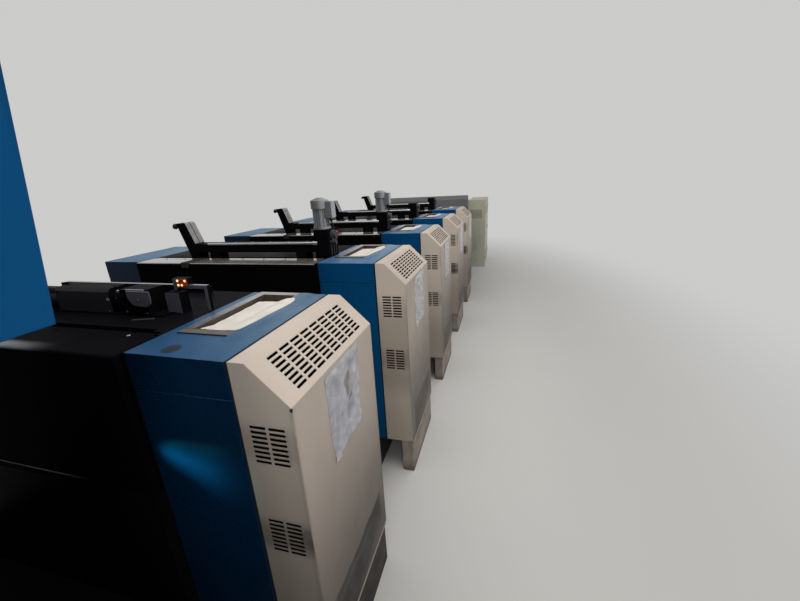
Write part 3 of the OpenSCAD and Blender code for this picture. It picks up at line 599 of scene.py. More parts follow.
class Piece:
    """Collects closed forms into one mesh, each form with its own material. A place is a tuple
    on unit k (in the frame, for no unit) or a Vector in the frame."""

    def __init__(self, k):
        self.k = k
        self.verts, self.faces, self.picks, self.materials = [], [], [], []

    def spot(self, place):
        return at(self.k, *place) if self.k and isinstance(place, tuple) else Vector(place)

    def add(self, verts, faces, material):
        if material not in self.materials:
            self.materials.append(material)
        base = len(self.verts)
        self.verts.extend(verts)
        self.faces.extend([base + i for i in face] for face in faces)
        self.picks.extend([self.materials.index(material)] * len(faces))

    def block(self, low, high, material, bevel=0.001):
        self.add(*chamfered_box(self.spot(low), self.spot(high), bevel), material)

    def bar(self, start, end, across, width, thickness, material, bevel=0.001):
        """Straight bar between two points, its width along a given direction."""
        start, end, across = self.spot(start), self.spot(end), Vector(across).normalized()
        along = (end - start).normalized()
        turn = Matrix((along, across, along.cross(across))).transposed()
        half = Vector((0.0, width / 2, thickness / 2))
        verts, faces = chamfered_box(-half, Vector(((end - start).length, 0, 0)) + half, bevel)
        self.add([start + turn @ v for v in verts], faces, material)

    def lathe(self, place, direction, profile, material, sides=24):
        """Turned form: profile gives (distance along the axis, radius) from start to end."""
        place, w = self.spot(place), Vector(direction).normalized()
        u = w.orthogonal().normalized()
        v = w.cross(u)
        verts, rings, faces = [], [], []
        for distance, radius in profile:
            count = sides if radius else 1
            rings.append(list(range(len(verts), len(verts) + count)))
            for i in range(count):
                angle = tau * i / sides
                verts.append(place + distance * w + radius * (cos(angle) * u + sin(angle) * v))
        if len(rings[0]) > 1:
            faces.append(rings[0][::-1])
        for a, b in zip(rings, rings[1:]):
            for i in range(sides):
                j = (i + 1) % sides
                if len(a) == 1:
                    faces.append([a[0], b[j], b[i]])
                elif len(b) == 1:
                    faces.append([a[i], a[j], b[0]])
                else:
                    faces.append([a[i], a[j], b[j], b[i]])
        if len(rings[-1]) > 1:
            faces.append(rings[-1])
        self.add(verts, faces, material)

    def rod(self, start, end, radius, material, sides=20, bevel=0.001):
        start, end = self.spot(start), self.spot(end)
        length = (end - start).length
        self.lathe(start, end - start, [(0.0, radius - bevel), (bevel, radius), (length - bevel, radius),
                                        (length, radius - bevel)], material, sides)

    def screw(self, place, direction, radius, material, proud=0.4):
        """Socket screw with a chamfered head."""
        height = proud * radius
        self.lathe(place, direction, [
            (-0.5 * height, radius), (0.7 * height, radius), (height, 0.82 * radius),
            (height, 0.46 * radius), (0.35 * height, 0.42 * radius), (0.35 * height, 0.0)], material, 14)

    def screws(self, xs, ys, zs, *look):
        """Like screws at all places that the given x, y and z make."""
        for place in product(xs, ys, zs):
            self.screw(place, *look)

    def tube(self, points, radius, material, sides=10):
        """Round tube through points, with flat ends."""
        verts, faces, side = [], [], None
        for i, p in enumerate(points):
            along = (points[min(i + 1, len(points) - 1)] - points[max(i - 1, 0)]).normalized()
            side = along.orthogonal() if side is None else side - side.dot(along) * along
            side.normalize()
            for j in range(sides):
                angle = tau * j / sides
                verts.append(p + radius * (cos(angle) * side + sin(angle) * along.cross(side)))
        for i, j in product(range(len(points) - 1), range(sides)):
            n = (j + 1) % sides
            faces.append([i * sides + j, i * sides + n, (i + 1) * sides + n, (i + 1) * sides + j])
        last = list(range(len(verts) - sides, len(verts)))
        self.add(verts, faces + [list(range(sides))[::-1], last], material)

    def skin(self, rows, back, material):
        """Thin closed sheet: a grid of front points, and the offset of its back from them."""
        back, height, width = Vector(back), len(rows), len(rows[0])
        front = [p for row in rows for p in row]
        verts, count, faces = front + [p + back for p in front], len(front), []
        for i, j in product(range(height - 1), range(width - 1)):
            a = i * width + j
            quad = [a, a + 1, a + width + 1, a + width]
            faces += [quad, [count + q for q in reversed(quad)]]
        rim = (list(range(width)) + [i * width + width - 1 for i in range(1, height)]
               + [(height - 1) * width + j for j in range(width - 2, -1, -1)]
               + [i * width for i in range(height - 2, 0, -1)])
        faces += [[a, count + a, count + b, b] for a, b in zip(rim, rim[1:] + rim[:1])]
        # The front looks away from the back
        a, b, c = (verts[i] for i in faces[0][:3])
        if (b - a).cross(c - b).dot(back) > 0:
            faces = [face[::-1] for face in faces]
        self.add(verts, faces, material)

    def sheet(self, point, columns, rows, back, material):
        """Thin sheet of the places point(u, v), both from 0 to 1."""
        self.skin([[self.spot(point(j / columns, i / rows)) for j in range(columns + 1)]
                   for i in range(rows + 1)], back, material)

    def prism(self, outline, offset, material):
        """Flat outline pushed along an offset."""
        outline, offset = [self.spot(p) for p in outline], Vector(offset)
        count = len(outline)
        normal = sum((a.cross(b) for a, b in zip(outline, outline[1:] + outline[:1])), Vector())
        if normal.dot(offset) < 0:
            outline.reverse()
        faces = [list(range(count))[::-1], list(range(count, 2 * count))]
        faces += [[i, (i + 1) % count, count + (i + 1) % count, count + i] for i in range(count)]
        self.add(outline + [p + offset for p in outline], faces, material)

    def panel(self, low, high, out, side, material):
        """Raised door panel in a dark seam, on a face that looks along axis out, to its side."""
        low, high = self.spot(low), self.spot(high)
        for grow, proud, finish, bevel in ((0.004, 0.0008, RUBBER, 0.0002), (0.0, 0.003, material, 0.0012)):
            margin = Vector((grow, grow, grow))
            start, end = low - margin, high + margin
            start[out], end[out] = sorted((low[out] - 0.002 * side, low[out] + proud * side))
            self.block(start, end, finish, bevel)

    def latch(self, place, out):
        """Round turn latch with a bar across it."""
        place, half = self.spot(place), 0.009 * UP
        self.lathe(place, out, [(0.0, 0.013), (0.002, 0.013), (0.003, 0.012)], ZINC)
        self.bar(place + 0.003 * out - half, place + 0.003 * out + half, out, 0.006, 0.005, RUBBER, 0.0008)

    def grip(self, start, end, out, reach, radius):
        """Bow handle between two points."""
        start, end = self.spot(start), self.spot(end)
        along, bend = (end - start).normalized(), 0.35 * reach
        points = [start]
        for foot, way, angles in ((start, along, range(5)), (end, -along, range(4, -1, -1))):
            for angle in (radians(22.5 * i) for i in angles):
                points.append(foot + (reach - bend + bend * sin(angle)) * out + bend * (1 - cos(angle)) * way)
        self.tube(points + [end], radius, STEEL, 12)
        for foot in (start, end):
            self.lathe(foot, out, [(0.0, 1.8 * radius), (0.002, 1.8 * radius), (0.003, 1.5 * radius)], ZINC, 16)

    def louvres(self, low, high, out, count, material):
        """Pressed louvres one above the other, each with a flat dark strip below it that paints the shade of its
        opening.
        """
        low, high = self.spot(low), self.spot(high)
        step = (high.z - low.z) / count
        for i in range(count):
            start, end = low.copy(), high.copy()
            start.z = end.z = low.z + (i + 0.5) * step
            # The first bar is the flat dark strip of painted shade; the second is the louvre
            for proud, lift, width, thickness, finish, bevel in (
                    (0.0004, 0.0, 0.4, 0.0012, INSIDE, 0.0003), (0.002, 0.22, 0.26, 0.006, material, 0.0025)):
                shift = proud * out + lift * step * UP
                self.bar(start + shift, end + shift, UP, width * step, thickness, finish, bevel)

    def push_buttons(self, place, along, out, pitch, *materials):
        """Row of plain round push buttons in dark bezels."""
        for i, material in enumerate(materials):
            middle = self.spot(place) + i * pitch * along
            self.lathe(middle, out, [(0.0, 0.0155), (0.003, 0.0155), (0.004, 0.0135)], ZINC)
            self.lathe(middle, out, [(0.002, 0.011), (0.009, 0.011), (0.011, 0.009), (0.011, 0.0)], material)

    def chains(self, xs, ys, links):
        """Hoist chains of a pile board, their links turned by turns."""
        for x, y, i in product(xs, ys, range(links)):
            half, z = 0.0022 + 0.0016 * (i % 2), 0.130 + 0.016 * i
            self.block((x - half, y - 0.006, z), (x + half, y + 0.006, z + 0.0175), ZINC, 0.0008)

    def done(self, name, body):
        mesh = bpy.data.meshes.new(name)
        mesh.from_pydata(self.verts, [], self.faces)
        for material in self.materials:
            mesh.materials.append(material)
        mesh.polygons.foreach_set("material_index", self.picks)
        mesh.shade_smooth()
        mesh.set_sharp_from_angle(angle=radians(35.0))
        piece = bpy.data.objects.new(name, mesh)
        bpy.context.scene.collection.objects.link(piece)
        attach(piece, body)


# Pieces on the drive side

def sleeve(piece, k):
    """Document sleeve stuck to the cabinet's outer face, blank and crumpled."""
    low_y, high_y, low_z, high_z = 0.187, 0.450, 0.943, 1.258
    width, height, margin = high_y - low_y, high_z - low_z, 0.010
    seed = Vector((3.1 * k, 1.7 * k, 0.0))

    def point(u, v):
        y, z = low_y + u * width, low_z + v * height
        # The sides wander, and the near corners are clipped
        y += 0.004 * noise.noise(Vector((9 * v, 0.3, k))) * (2 * u - 1)
        y += u * (0.034 * max(0.0, v - 0.27) + 0.030 * max(0.0, 0.27 - v) - 0.016)
        y += 0.017 * max(0.0, 1 - v / 0.20) * (1 - u) ** 3
        z += 0.003 * noise.noise(Vector((6 * u, 7.0, k))) + 0.015 * u * v + 0.006 * u * (1 - v)
        z -= 0.008 * v * max(0.0, 1 - u / 0.07)
        lift = min(1.0, min(u, 1 - u) * width / margin, min(v, 1 - v) * height / margin)
        crumple = (0.7 * noise.noise(seed + Vector((7 * u + 4 * v, 9 * v - 3 * u, 0.0)))
                   + 1.1 * abs(noise.noise(seed + Vector((4 * u + 3 * v, 5 * v, 2.0))))
                   + 0.30 * abs(noise.noise(seed + Vector((17 * u, 13 * v, 4.0)))))
        return CABINET_OUT + 0.0012 + lift * (0.0020 + 0.0060 * max(0.0, crumple)), y, z
    piece.sheet(point, 40, 52, (-0.0010, 0.0, 0.0), SLEEVE)
    # Punched strip along the near edge, and tape at three corners
    for hole in range(11):
        piece.lathe((CABINET_OUT + 0.0016, low_y + 0.010, low_z + 0.045 + hole * (height - 0.06) / 11), RIGHT,
                    [(0.0, 0.0032), (0.0007, 0.0032), (0.0007, 0.0016), (0.0003, 0.0016), (0.0003, 0.0)],
                    TAPE, 12)
    for y, z, lean in ((low_y + 0.02, high_z - 0.004, 0.004), (high_y - 0.035, high_z + 0.002, -0.003),
                       (low_y + 0.03, low_z + 0.002, -0.004)):
        x = CABINET_OUT + 0.0034
        piece.bar((x, y - 0.022, z - lean), (x, y + 0.022, z + lean), UP, 0.019, 0.0006, TAPE, 0.0002)


def liner(piece, k):
    """White paper laid in the tray and over its drive-side bezel."""
    left = -0.265

    def point(u, v):
        # The drive-side edge bulges to the rear
        edge = (-0.116 + 0.025 * sin(0.5 * pi * min(1.0, v / 0.8))
                - 0.015 * (max(0.0, v - 0.8) / 0.2) ** 2 + 0.0022 * sin(8.0 * v + k))
        x = left + u * (edge - left)
        near = 0.199 - 0.009 * u - 0.004 * sin(pi * u) ** 2
        y = near + v * (0.519 + 0.012 * u - near) + 0.012 * (max(0.0, u - 0.9) / 0.1) ** 2 * (1 - v) ** 4
        sag = (1 - clamped((x - (TRAY_X[1] - 0.055)) / 0.055)) ** 1.6
        deep = clamped((y - TRAY_Y[0]) / 0.07)
        z = (TOP + BEZEL_HEIGHT + 0.0022 - (0.004 + 0.012 * deep) * sag
             + 0.0012 * noise.noise(Vector((7 * u, 9 * v, k))) * (0.4 + sag))
        return x, y, max(z, TOP + BEZEL_HEIGHT + 0.0018) if y < TRAY_Y[0] else z
    piece.sheet(point, 22, 40, (0.0, 0.0, -0.0022), LINER)


def lid_ramp(piece, k):
    """Rise of the lid to the tray's drive-side edge, where a painted skin runs over the bezel."""
    def ease(value, low, high):
        share = clamped((value - low) / (high - low))
        return share * share * (3.0 - 2.0 * share)

    def point(u, v):
        x, y = -0.118 + 0.074 * u, 0.112 + 0.497 * v
        rise = (1.0 - ease(x, -0.090, -0.046)) * ease(y, 0.114, 0.152)
        return x, y, TOP - 0.0004 + 0.0050 * rise
    piece.sheet(point, 16, 32, (0.0, 0.0, -0.0006), BLUE)


def lid_trim(piece, k):
    """Seals in the joint between housing and cabinet, and the screws behind them."""
    piece.block((-0.0035, 0.001, TOP - 0.004), (0.0012, DEPTH - 0.001, TOP + 0.0012), RUBBER, 0.0006)
    piece.block((-0.0035, -0.0008, HOUSING_BOTTOM + 0.002), (0.0012, 0.003, TOP - 0.001), RUBBER, 0.0004)
    piece.screws((-0.325, -0.055), (DEPTH,), (TOP - 0.060, HOUSING_BOTTOM + 0.05), REAR, 0.006, ZINC)


def cabinet_trim(piece, k):
    """Folded lip along the foot of a side cabinet's outer face, and its back face's screws."""
    piece.block((CABINET_OUT - 0.004, 0.004, HOUSING_BOTTOM - 0.020),
                (CABINET_OUT - 0.0015, DEPTH - 0.004, HOUSING_BOTTOM + 0.001), CREAM, 0.0006)
    piece.screws((0.022, CABINET_OUT - 0.022), (DEPTH,), (HOUSING_BOTTOM + 0.08, 0.72, TOP - 0.18),
                 REAR, 0.005, ZINC)


# Pieces on the units' tops

def lamp_console(piece, k):
    """Four amber lamps on a lit plate of the first unit's console."""
    face = 0.362
    piece.block((-0.4975, face - 0.0025, 1.4955), (-0.4460, face + 0.0005, 1.5225), AMBER_PLATE)
    for x, z in ((-0.4860, 1.5165), (-0.4520, 1.5165), (-0.4850, 1.5000), (-0.4690, 1.5000)):
        place = (x, face - 0.0025, z)
        piece.lathe(place, FRONT, [(0.0, 0.0056), (0.002, 0.0056), (0.002, 0.0046)], RUBBER, 20)
        piece.lathe(place, FRONT, [(0.0, 0.0048), (0.003, 0.0046), (0.0046, 0.0028), (0.0050, 0.0)], AMBER, 20)


def first_drive(piece, k):
    """Screws, cover plate in the grey that paints its sheen, a pale strip that paints the highlight along its top,
    and a foot strip on the first unit's lying drive.
    """
    y = 0.277
    for x, z, radius in ((-0.687, 1.493, 0.006), (-0.668, 1.414, 0.004), (-0.572, 1.412, 0.004),
                         (-0.755, 1.412, 0.004), (-0.7475, 1.4585, 0.007)):
        piece.screw((x, y, z), FRONT, radius, ZINC)
    # Plate over the gear, its lower corners rounded, in the lighter grey that paints its sheen
    outline = [(-0.522, 0.258, 1.5005), (-0.626, 0.258, 1.5005)]
    for middle, radius, first in ((-0.584, 0.042, 180), (-0.547, 0.025, 270)):
        for angle in (radians(first + 15 * i) for i in range(7)):
            outline.append((middle + radius * cos(angle), 0.258, 1.444 + radius + radius * sin(angle)))
    piece.prism(outline, (0, 0.006, 0), CAST_SHEEN)
    piece.screw((-0.574, 0.258, 1.470), FRONT, 0.0045, ZINC)
    # Bolts of the round flange
    for angle in (radians(22.5 + 45 * i) for i in range(8)):
        piece.screw((-0.708, 0.320 + 0.0405 * cos(angle), 1.449 + 0.0405 * sin(angle)), LEFT, 0.0038, ZINC, 0.9)
    # Dark screws of the cowl
    piece.screws((-1.005,), (y,), (1.412, 1.484), FRONT, 0.004, BLACK)
    piece.screws((-1.005, -0.755), (0.320,), (1.500,), UP, 0.004, BLACK)
    # Pale strip along the top of the gear cover, a painted highlight
    piece.bar((-0.646, 0.2745, 1.5010), (-0.561, 0.2745, 1.5010), UP, 0.006, 0.006, PANEL, 0.0015)
    # Foot strip before the sole plate
    piece.bar((-0.598, 0.231, TOP + 0.0012), (-0.520, 0.255, TOP + 0.0012), UP, 0.003, 0.009, CAST, 0.0008)
    # Cable from the motor's tail along the rail
    piece.tube([at(k, -1.135 - 0.16 * t, 0.320 + 0.17 * t + 0.02 * sin(3 * pi * t),
                   1.449 - 0.041 * min(1.0, 3 * t)) for t in (i / 24 for i in range(25))], 0.006, RUBBER)
    piece.screws((-1.34, -1.20), (0.392,), (TOP + 0.006,), UP, 0.006, BLACK)


def arm_strip(piece, low_y, high_y):
    """Strip that follows the leaning arm's inner side and rounds its upper end."""
    thickness, radius, turn = 0.0025, 0.016, radians(15)
    foot = Vector((BEAM_LEFT + ARM_FOOT + 0.003, BEAM_TOP + 0.004))
    head = Vector((BEAM_LEFT + 0.0005, ARM_HEAD))
    lean = (head - foot).normalized()
    normal = Vector((lean.y, -lean.x))
    rows = []
    for i in range(15):
        out = cos(max(0, i - 6) * turn) * normal + sin(max(0, i - 6) * turn) * lean
        q = foot.lerp(head, min(1.0, i / 6)) + radius * (out - normal) + thickness * out
        rows.append([piece.spot((q.x, low_y + (high_y - low_y) * j / 2, TOP + q.y)) for j in range(3)])
    piece.skin(rows, (-thickness * normal.x, 0.0, -thickness * normal.y), PANEL)


def agitator(piece, k):
    """Grey end panels, clamp knob, screws and lamps of an upright agitator."""
    arm_strip(piece, BEAM_FRONT + 0.003, BEAM_FRONT + 0.041)
    arm_strip(piece, BEAM_FRONT + 0.047, BEAM_BACK - 0.003)
    # Knob at the arm's upper end
    piece.lathe((BEAM_LEFT - 0.060, BEAM_FRONT + 0.010, TOP + 0.205), (-0.9, -0.25, 0.35),
                [(-0.010, 0.008), (0.016, 0.008), (0.018, 0.017), (0.034, 0.019), (0.040, 0.014), (0.042, 0.0)],
                RUBBER, 20)
    for z in (0.05, 0.115, 0.18):
        piece.screw((BEAM_LEFT - 0.345 * (z - 0.05) + 0.045, BEAM_FRONT, TOP + z), FRONT, 0.005, BLACK)
    piece.screws([BEAM_LEFT + 0.20 + i * 0.135 for i in range(6)], (BEAM_FRONT + 0.055,), (TOP + BEAM_TOP,),
                 UP, 0.006, ZINC)
    # Gearbox cover, its screws and the lamps beside it
    left, right, low, high = BEAM_RIGHT + 0.008, MIDDLE_RIGHT + 0.001, TOP + 0.010, TOP + 0.162
    front = BEAM_FRONT - 0.004
    piece.block((left, front, low), (right, BEAM_FRONT + 0.001, high), BLACK, 0.0015)
    piece.screws((left + 0.009, right - 0.009), (front,), (low + 0.010, (low + high) / 2, high - 0.010),
                 FRONT, 0.0045, BLACK)
    lamp = at(k, MIDDLE_RIGHT + 0.022, BEAM_FRONT + 0.099, TOP + 0.146)
    piece.rod(lamp + 0.014 * LEFT, lamp, 0.010, RUBBER)
    piece.lathe(lamp, RIGHT, [(-0.001, 0.0085), (0.006, 0.008), (0.010, 0.0055), (0.012, 0.0)], RED, 20)
    piece.lathe(lamp - 0.016 * UP, RIGHT, [(-0.006, 0.0055), (0.004, 0.005), (0.006, 0.0)], PANEL, 16)


def motor(piece, k):
    """Cowl grille, lid screws and cable gland of an upright motor."""
    foot, head = (at(k, MOTOR_X, MOTOR_Y, TOP + z) for z in (MOTOR_FOOT, MOTOR_HEAD))
    # Raised rings over the fan
    for radius in (0.020, 0.034, 0.047):
        height = min(0.014 * (0.056 - radius) / (0.056 - 0.0215), 0.014)
        piece.lathe(head + height * UP, UP, [(-0.002, radius), (0.0015, radius), (0.0015, radius - 0.003),
                                             (-0.002, radius - 0.003)], GREY, 40)
    for angle in (radians(45 + 90 * i) for i in range(4)):
        side = Vector((cos(angle), sin(angle), 0.0))
        piece.screw(head + 0.0558 * side - 0.022 * UP, side, 0.004, ZINC, 0.6)
        # Tie bolts of the end shields
        bolt = foot + 0.0475 * side
        piece.rod(bolt + 0.012 * UP, bolt + 0.124 * UP, 0.003, ZINC, 10, 0.0005)
    # Terminal box's lid with its screws, and a gland below it
    x, low, high = MOTOR_X + 0.084, TOP + MOTOR_HEAD - 0.107, TOP + MOTOR_HEAD - 0.007
    piece.block((x - 0.001, MOTOR_Y - 0.0285, low + 0.0015), (x + 0.004, MOTOR_Y + 0.0285, high - 0.0015),
                GREY, 0.0012)
    piece.screws((x + 0.004,), (MOTOR_Y - 0.023, MOTOR_Y + 0.023), (low + 0.008, high - 0.008),
                 RIGHT, 0.0035, ZINC)
    gland = at(k, x - 0.018, MOTOR_Y, low)
    piece.lathe(gland, (0, 0, -1), [(-0.002, 0.011), (0.010, 0.011), (0.012, 0.009), (0.020, 0.0085),
                                    (0.024, 0.005)], RUBBER, 20)
    piece.tube([gland + Vector((0.016 * sin(pi * t) - 0.020 * t, 0.006 * t, -0.020 - 0.062 * t))
                for t in (i / 10 for i in range(11))], 0.0045, RUBBER)


def guard_trim(piece, k):
    """Stop pads, hinge screws and lifting lip of a hinged guard."""
    if k > 1:
        piece.block((-1.310, GUARD_FACE + 0.002, TOP - 0.001), (-1.252, 0.118, TOP + 0.005), RUBBER, 0.0015)
        piece.block((-1.310, GUARD_FACE - 0.005, TOP - 0.030), (-1.252, GUARD_FACE + 0.004, TOP + 0.005),
                    RUBBER, 0.0015)
    step = (MIDDLE_RIGHT - MIDDLE_LEFT - 0.24) / 7
    piece.screws([MIDDLE_LEFT + 0.12 + i * step for i in range(8)], (0.108,), (TOP,), UP, 0.005, BLACK)
    if k == 1:
        piece.screw((-0.465, 0.109, TOP), UP, 0.006, ZINC)
    piece.block((MIDDLE_LEFT + 0.15, GUARD_FACE - 0.004, GUARD_LOW + 0.003),
                (MIDDLE_RIGHT - 0.15, GUARD_FACE + 0.001, GUARD_LOW + 0.020), GUARD, 0.0018)


def plate_clamps(piece, k):
    """Bearer rings and clamp bar on the cylinder behind a guard."""
    radius, back, drop, cheek = 0.135, 0.172, 0.270, 0.060
    left, right = MIDDLE_LEFT + cheek + 0.010, MIDDLE_RIGHT - cheek - 0.010
    for x in (left, right - 0.028):
        piece.lathe((x, back, TOP - drop), RIGHT, [(0.0, radius), (0.0, radius + 0.0020),
                                                   (0.028, radius + 0.0020), (0.028, radius)], STEEL, 64)
    # Clamp bar with its screws, on the side that looks at the operator
    angle = radians(150)
    out = Vector((0.0, cos(angle), sin(angle)))
    start, end = (at(k, x, back, TOP - drop) + radius * out for x in (left + 0.04, right - 0.04))
    piece.bar(start, end, (0, -out.z, out.y), 0.026, 0.006, ZINC)
    for i in range(14):
        piece.screw(start.lerp(end, (i + 0.5) / 14) + 0.003 * out, out, 0.005, RUBBER, 0.5)


# Pieces of the housings' other sides, of the delivery and of the feeder

def operator_side(piece, k):
    """Doors, latches, buttons and vents of an operator side's housing."""
    face, panels = OPERATOR_LEFT, ((0.300, 0.800), (0.815, TOP - 0.165))
    for low, high in panels:
        piece.panel((face, 0.045, low), (face, DEPTH - 0.045, high), 0, -1, BLUE)
    for z in (0.550, 1.02):
        piece.latch((face - 0.003, DEPTH - 0.085, z), LEFT)
    for z in (0.36, 0.74, 0.87, 1.17):
        piece.rod((face - 0.004, 0.043, z - 0.022), (face - 0.004, 0.043, z + 0.022), 0.005, ZINC, 12)
    # Button strip on the lid's side
    piece.block((face - 0.010, 0.140, TOP - 0.100), (face + 0.001, 0.420, TOP - 0.030), BLACK, 0.002)
    piece.push_buttons((face - 0.010, 0.170, TOP - 0.065), REAR, LEFT, 0.055, GREEN, PANEL, PANEL, BLACK, RED)
    # Vents in the housings' backs, between the units
    piece.louvres((face + 0.06, DEPTH, 0.95), (face + 0.24, DEPTH, 1.10), REAR, 7, BLUE)
    piece.screws((-0.33, -0.025), (DEPTH,), (HOUSING_BOTTOM + 0.05, TOP - 0.05), REAR, 0.006, ZINC)


def unit_back(piece, k):
    """Cover with grips and screws behind a unit's black body."""
    left, right, face = MIDDLE_LEFT + 0.04, MIDDLE_RIGHT - 0.04, DEPTH + 0.003
    piece.panel((left, DEPTH, 0.62), (right, DEPTH, TOP - 0.10), 1, 1, BLACK)
    for x in (left + 0.22, right - 0.22):
        piece.grip((x - 0.06, face, TOP - 0.17), (x + 0.06, face, TOP - 0.17), REAR, 0.030, 0.006)
    piece.screws((left + 0.03, (left + right) / 2, right - 0.03), (face,), (0.65, TOP - 0.13),
                 REAR, 0.006, ZINC)


def delivery(piece, k):
    """Panels, handles and a window of the delivery's hood, doors in its frame, and pile chains."""
    for x, side, out in ((DELIVERY_RIGHT, 1, RIGHT), (DELIVERY_LEFT, -1, LEFT)):
        proud = x + 0.003 * side
        for low_y, high_y in ((-2.24, -1.46), (-1.44, -0.66)):
            piece.panel((x, low_y, HOOD_BOTTOM + 0.04), (x, high_y, HOOD_TOP - 0.05), 0, side, BLUE)
            for y in (low_y + 0.08, high_y - 0.08):
                piece.latch((proud, y, HOOD_BOTTOM + 0.08), out)
            piece.panel((x, low_y - 0.18, 0.10), (x, high_y - 0.12, 0.80), 0, side, BLUE)
            piece.latch((proud, high_y - 0.19, 0.50), out)
            piece.louvres((proud, low_y - 0.02, 0.20), (proud, high_y - 0.32, 0.36), out, 7, BLUE)
    # Seams across the hood's top, and its lid screws
    step = (DELIVERY_RIGHT - DELIVERY_LEFT - 0.12) / 6
    for y in (-0.65, -1.45, -2.25):
        piece.block((DELIVERY_LEFT + 0.002, y - 0.002, HOOD_TOP - 0.001),
                    (DELIVERY_RIGHT - 0.002, y + 0.002, HOOD_TOP + 0.0006), RUBBER, 0.0003)
        piece.screws([DELIVERY_LEFT + 0.06 + i * step for i in range(7)], (y + 0.025,), (HOOD_TOP,),
                     UP, 0.006, BLUE)
    # Window in the sloping face over the pile
    run, rise, y = 0.340, HOOD_TOP - HOOD_BOTTOM - WINDOW_FOOT, DELIVERY_END + 0.180
    along = Vector((0.0, run, rise)).normalized()
    foot = at(k, (DELIVERY_LEFT + DELIVERY_RIGHT) / 2, y, HOOD_BOTTOM + WINDOW_FOOT)
    length = hypot(run, rise)
    for width, low, high, thickness, material, bevel in (
            (1.40, 0.05, length - 0.06, 0.008, RUBBER, 0.001), (1.36, 0.07, length - 0.08, 0.014, SMOKED, 0.002)):
        piece.bar(foot + low * along, foot + high * along, RIGHT, width, thickness, material, bevel)
    hold = foot + 0.035 * along
    piece.grip(hold + 0.30 * LEFT, hold + 0.30 * RIGHT, Vector((0.0, -along.z, along.y)), 0.05, 0.009)
    # Control strip over the pile's opening
    piece.block((DELIVERY_RIGHT - 0.52, y - 0.012, HOOD_BOTTOM + 0.020),
                (DELIVERY_RIGHT - 0.08, y + 0.001, HOOD_BOTTOM + 0.100), BLACK, 0.002)
    piece.push_buttons((DELIVERY_RIGHT - 0.48, y - 0.012, HOOD_BOTTOM + 0.060), RIGHT, FRONT, 0.060,
                       GREEN, PANEL, PANEL, PANEL, BLACK, BLACK, RED)
    piece.chains((DELIVERY_LEFT + 0.1170, DELIVERY_RIGHT - 0.1170), (DELIVERY_END + 0.30, -1.50), 92)
    # Screws down the duct's sides, and at the frame's feet
    for t in ((i + 0.5) / 5 for i in range(5)):
        piece.screws((DELIVERY_LEFT + 0.18, DELIVERY_RIGHT - 0.18), (-0.420 - 0.480 * t,),
                     (0.335 + (HOOD_BOTTOM - 0.335) * t,), (0, 0.935, 0.354), 0.008, ZINC)
    piece.screws((DELIVERY_LEFT + 0.055, DELIVERY_RIGHT - 0.055),
                 (DELIVERY_START - 0.10, DELIVERY_END + 0.10), (0.0,), UP, 0.010, ZINC)


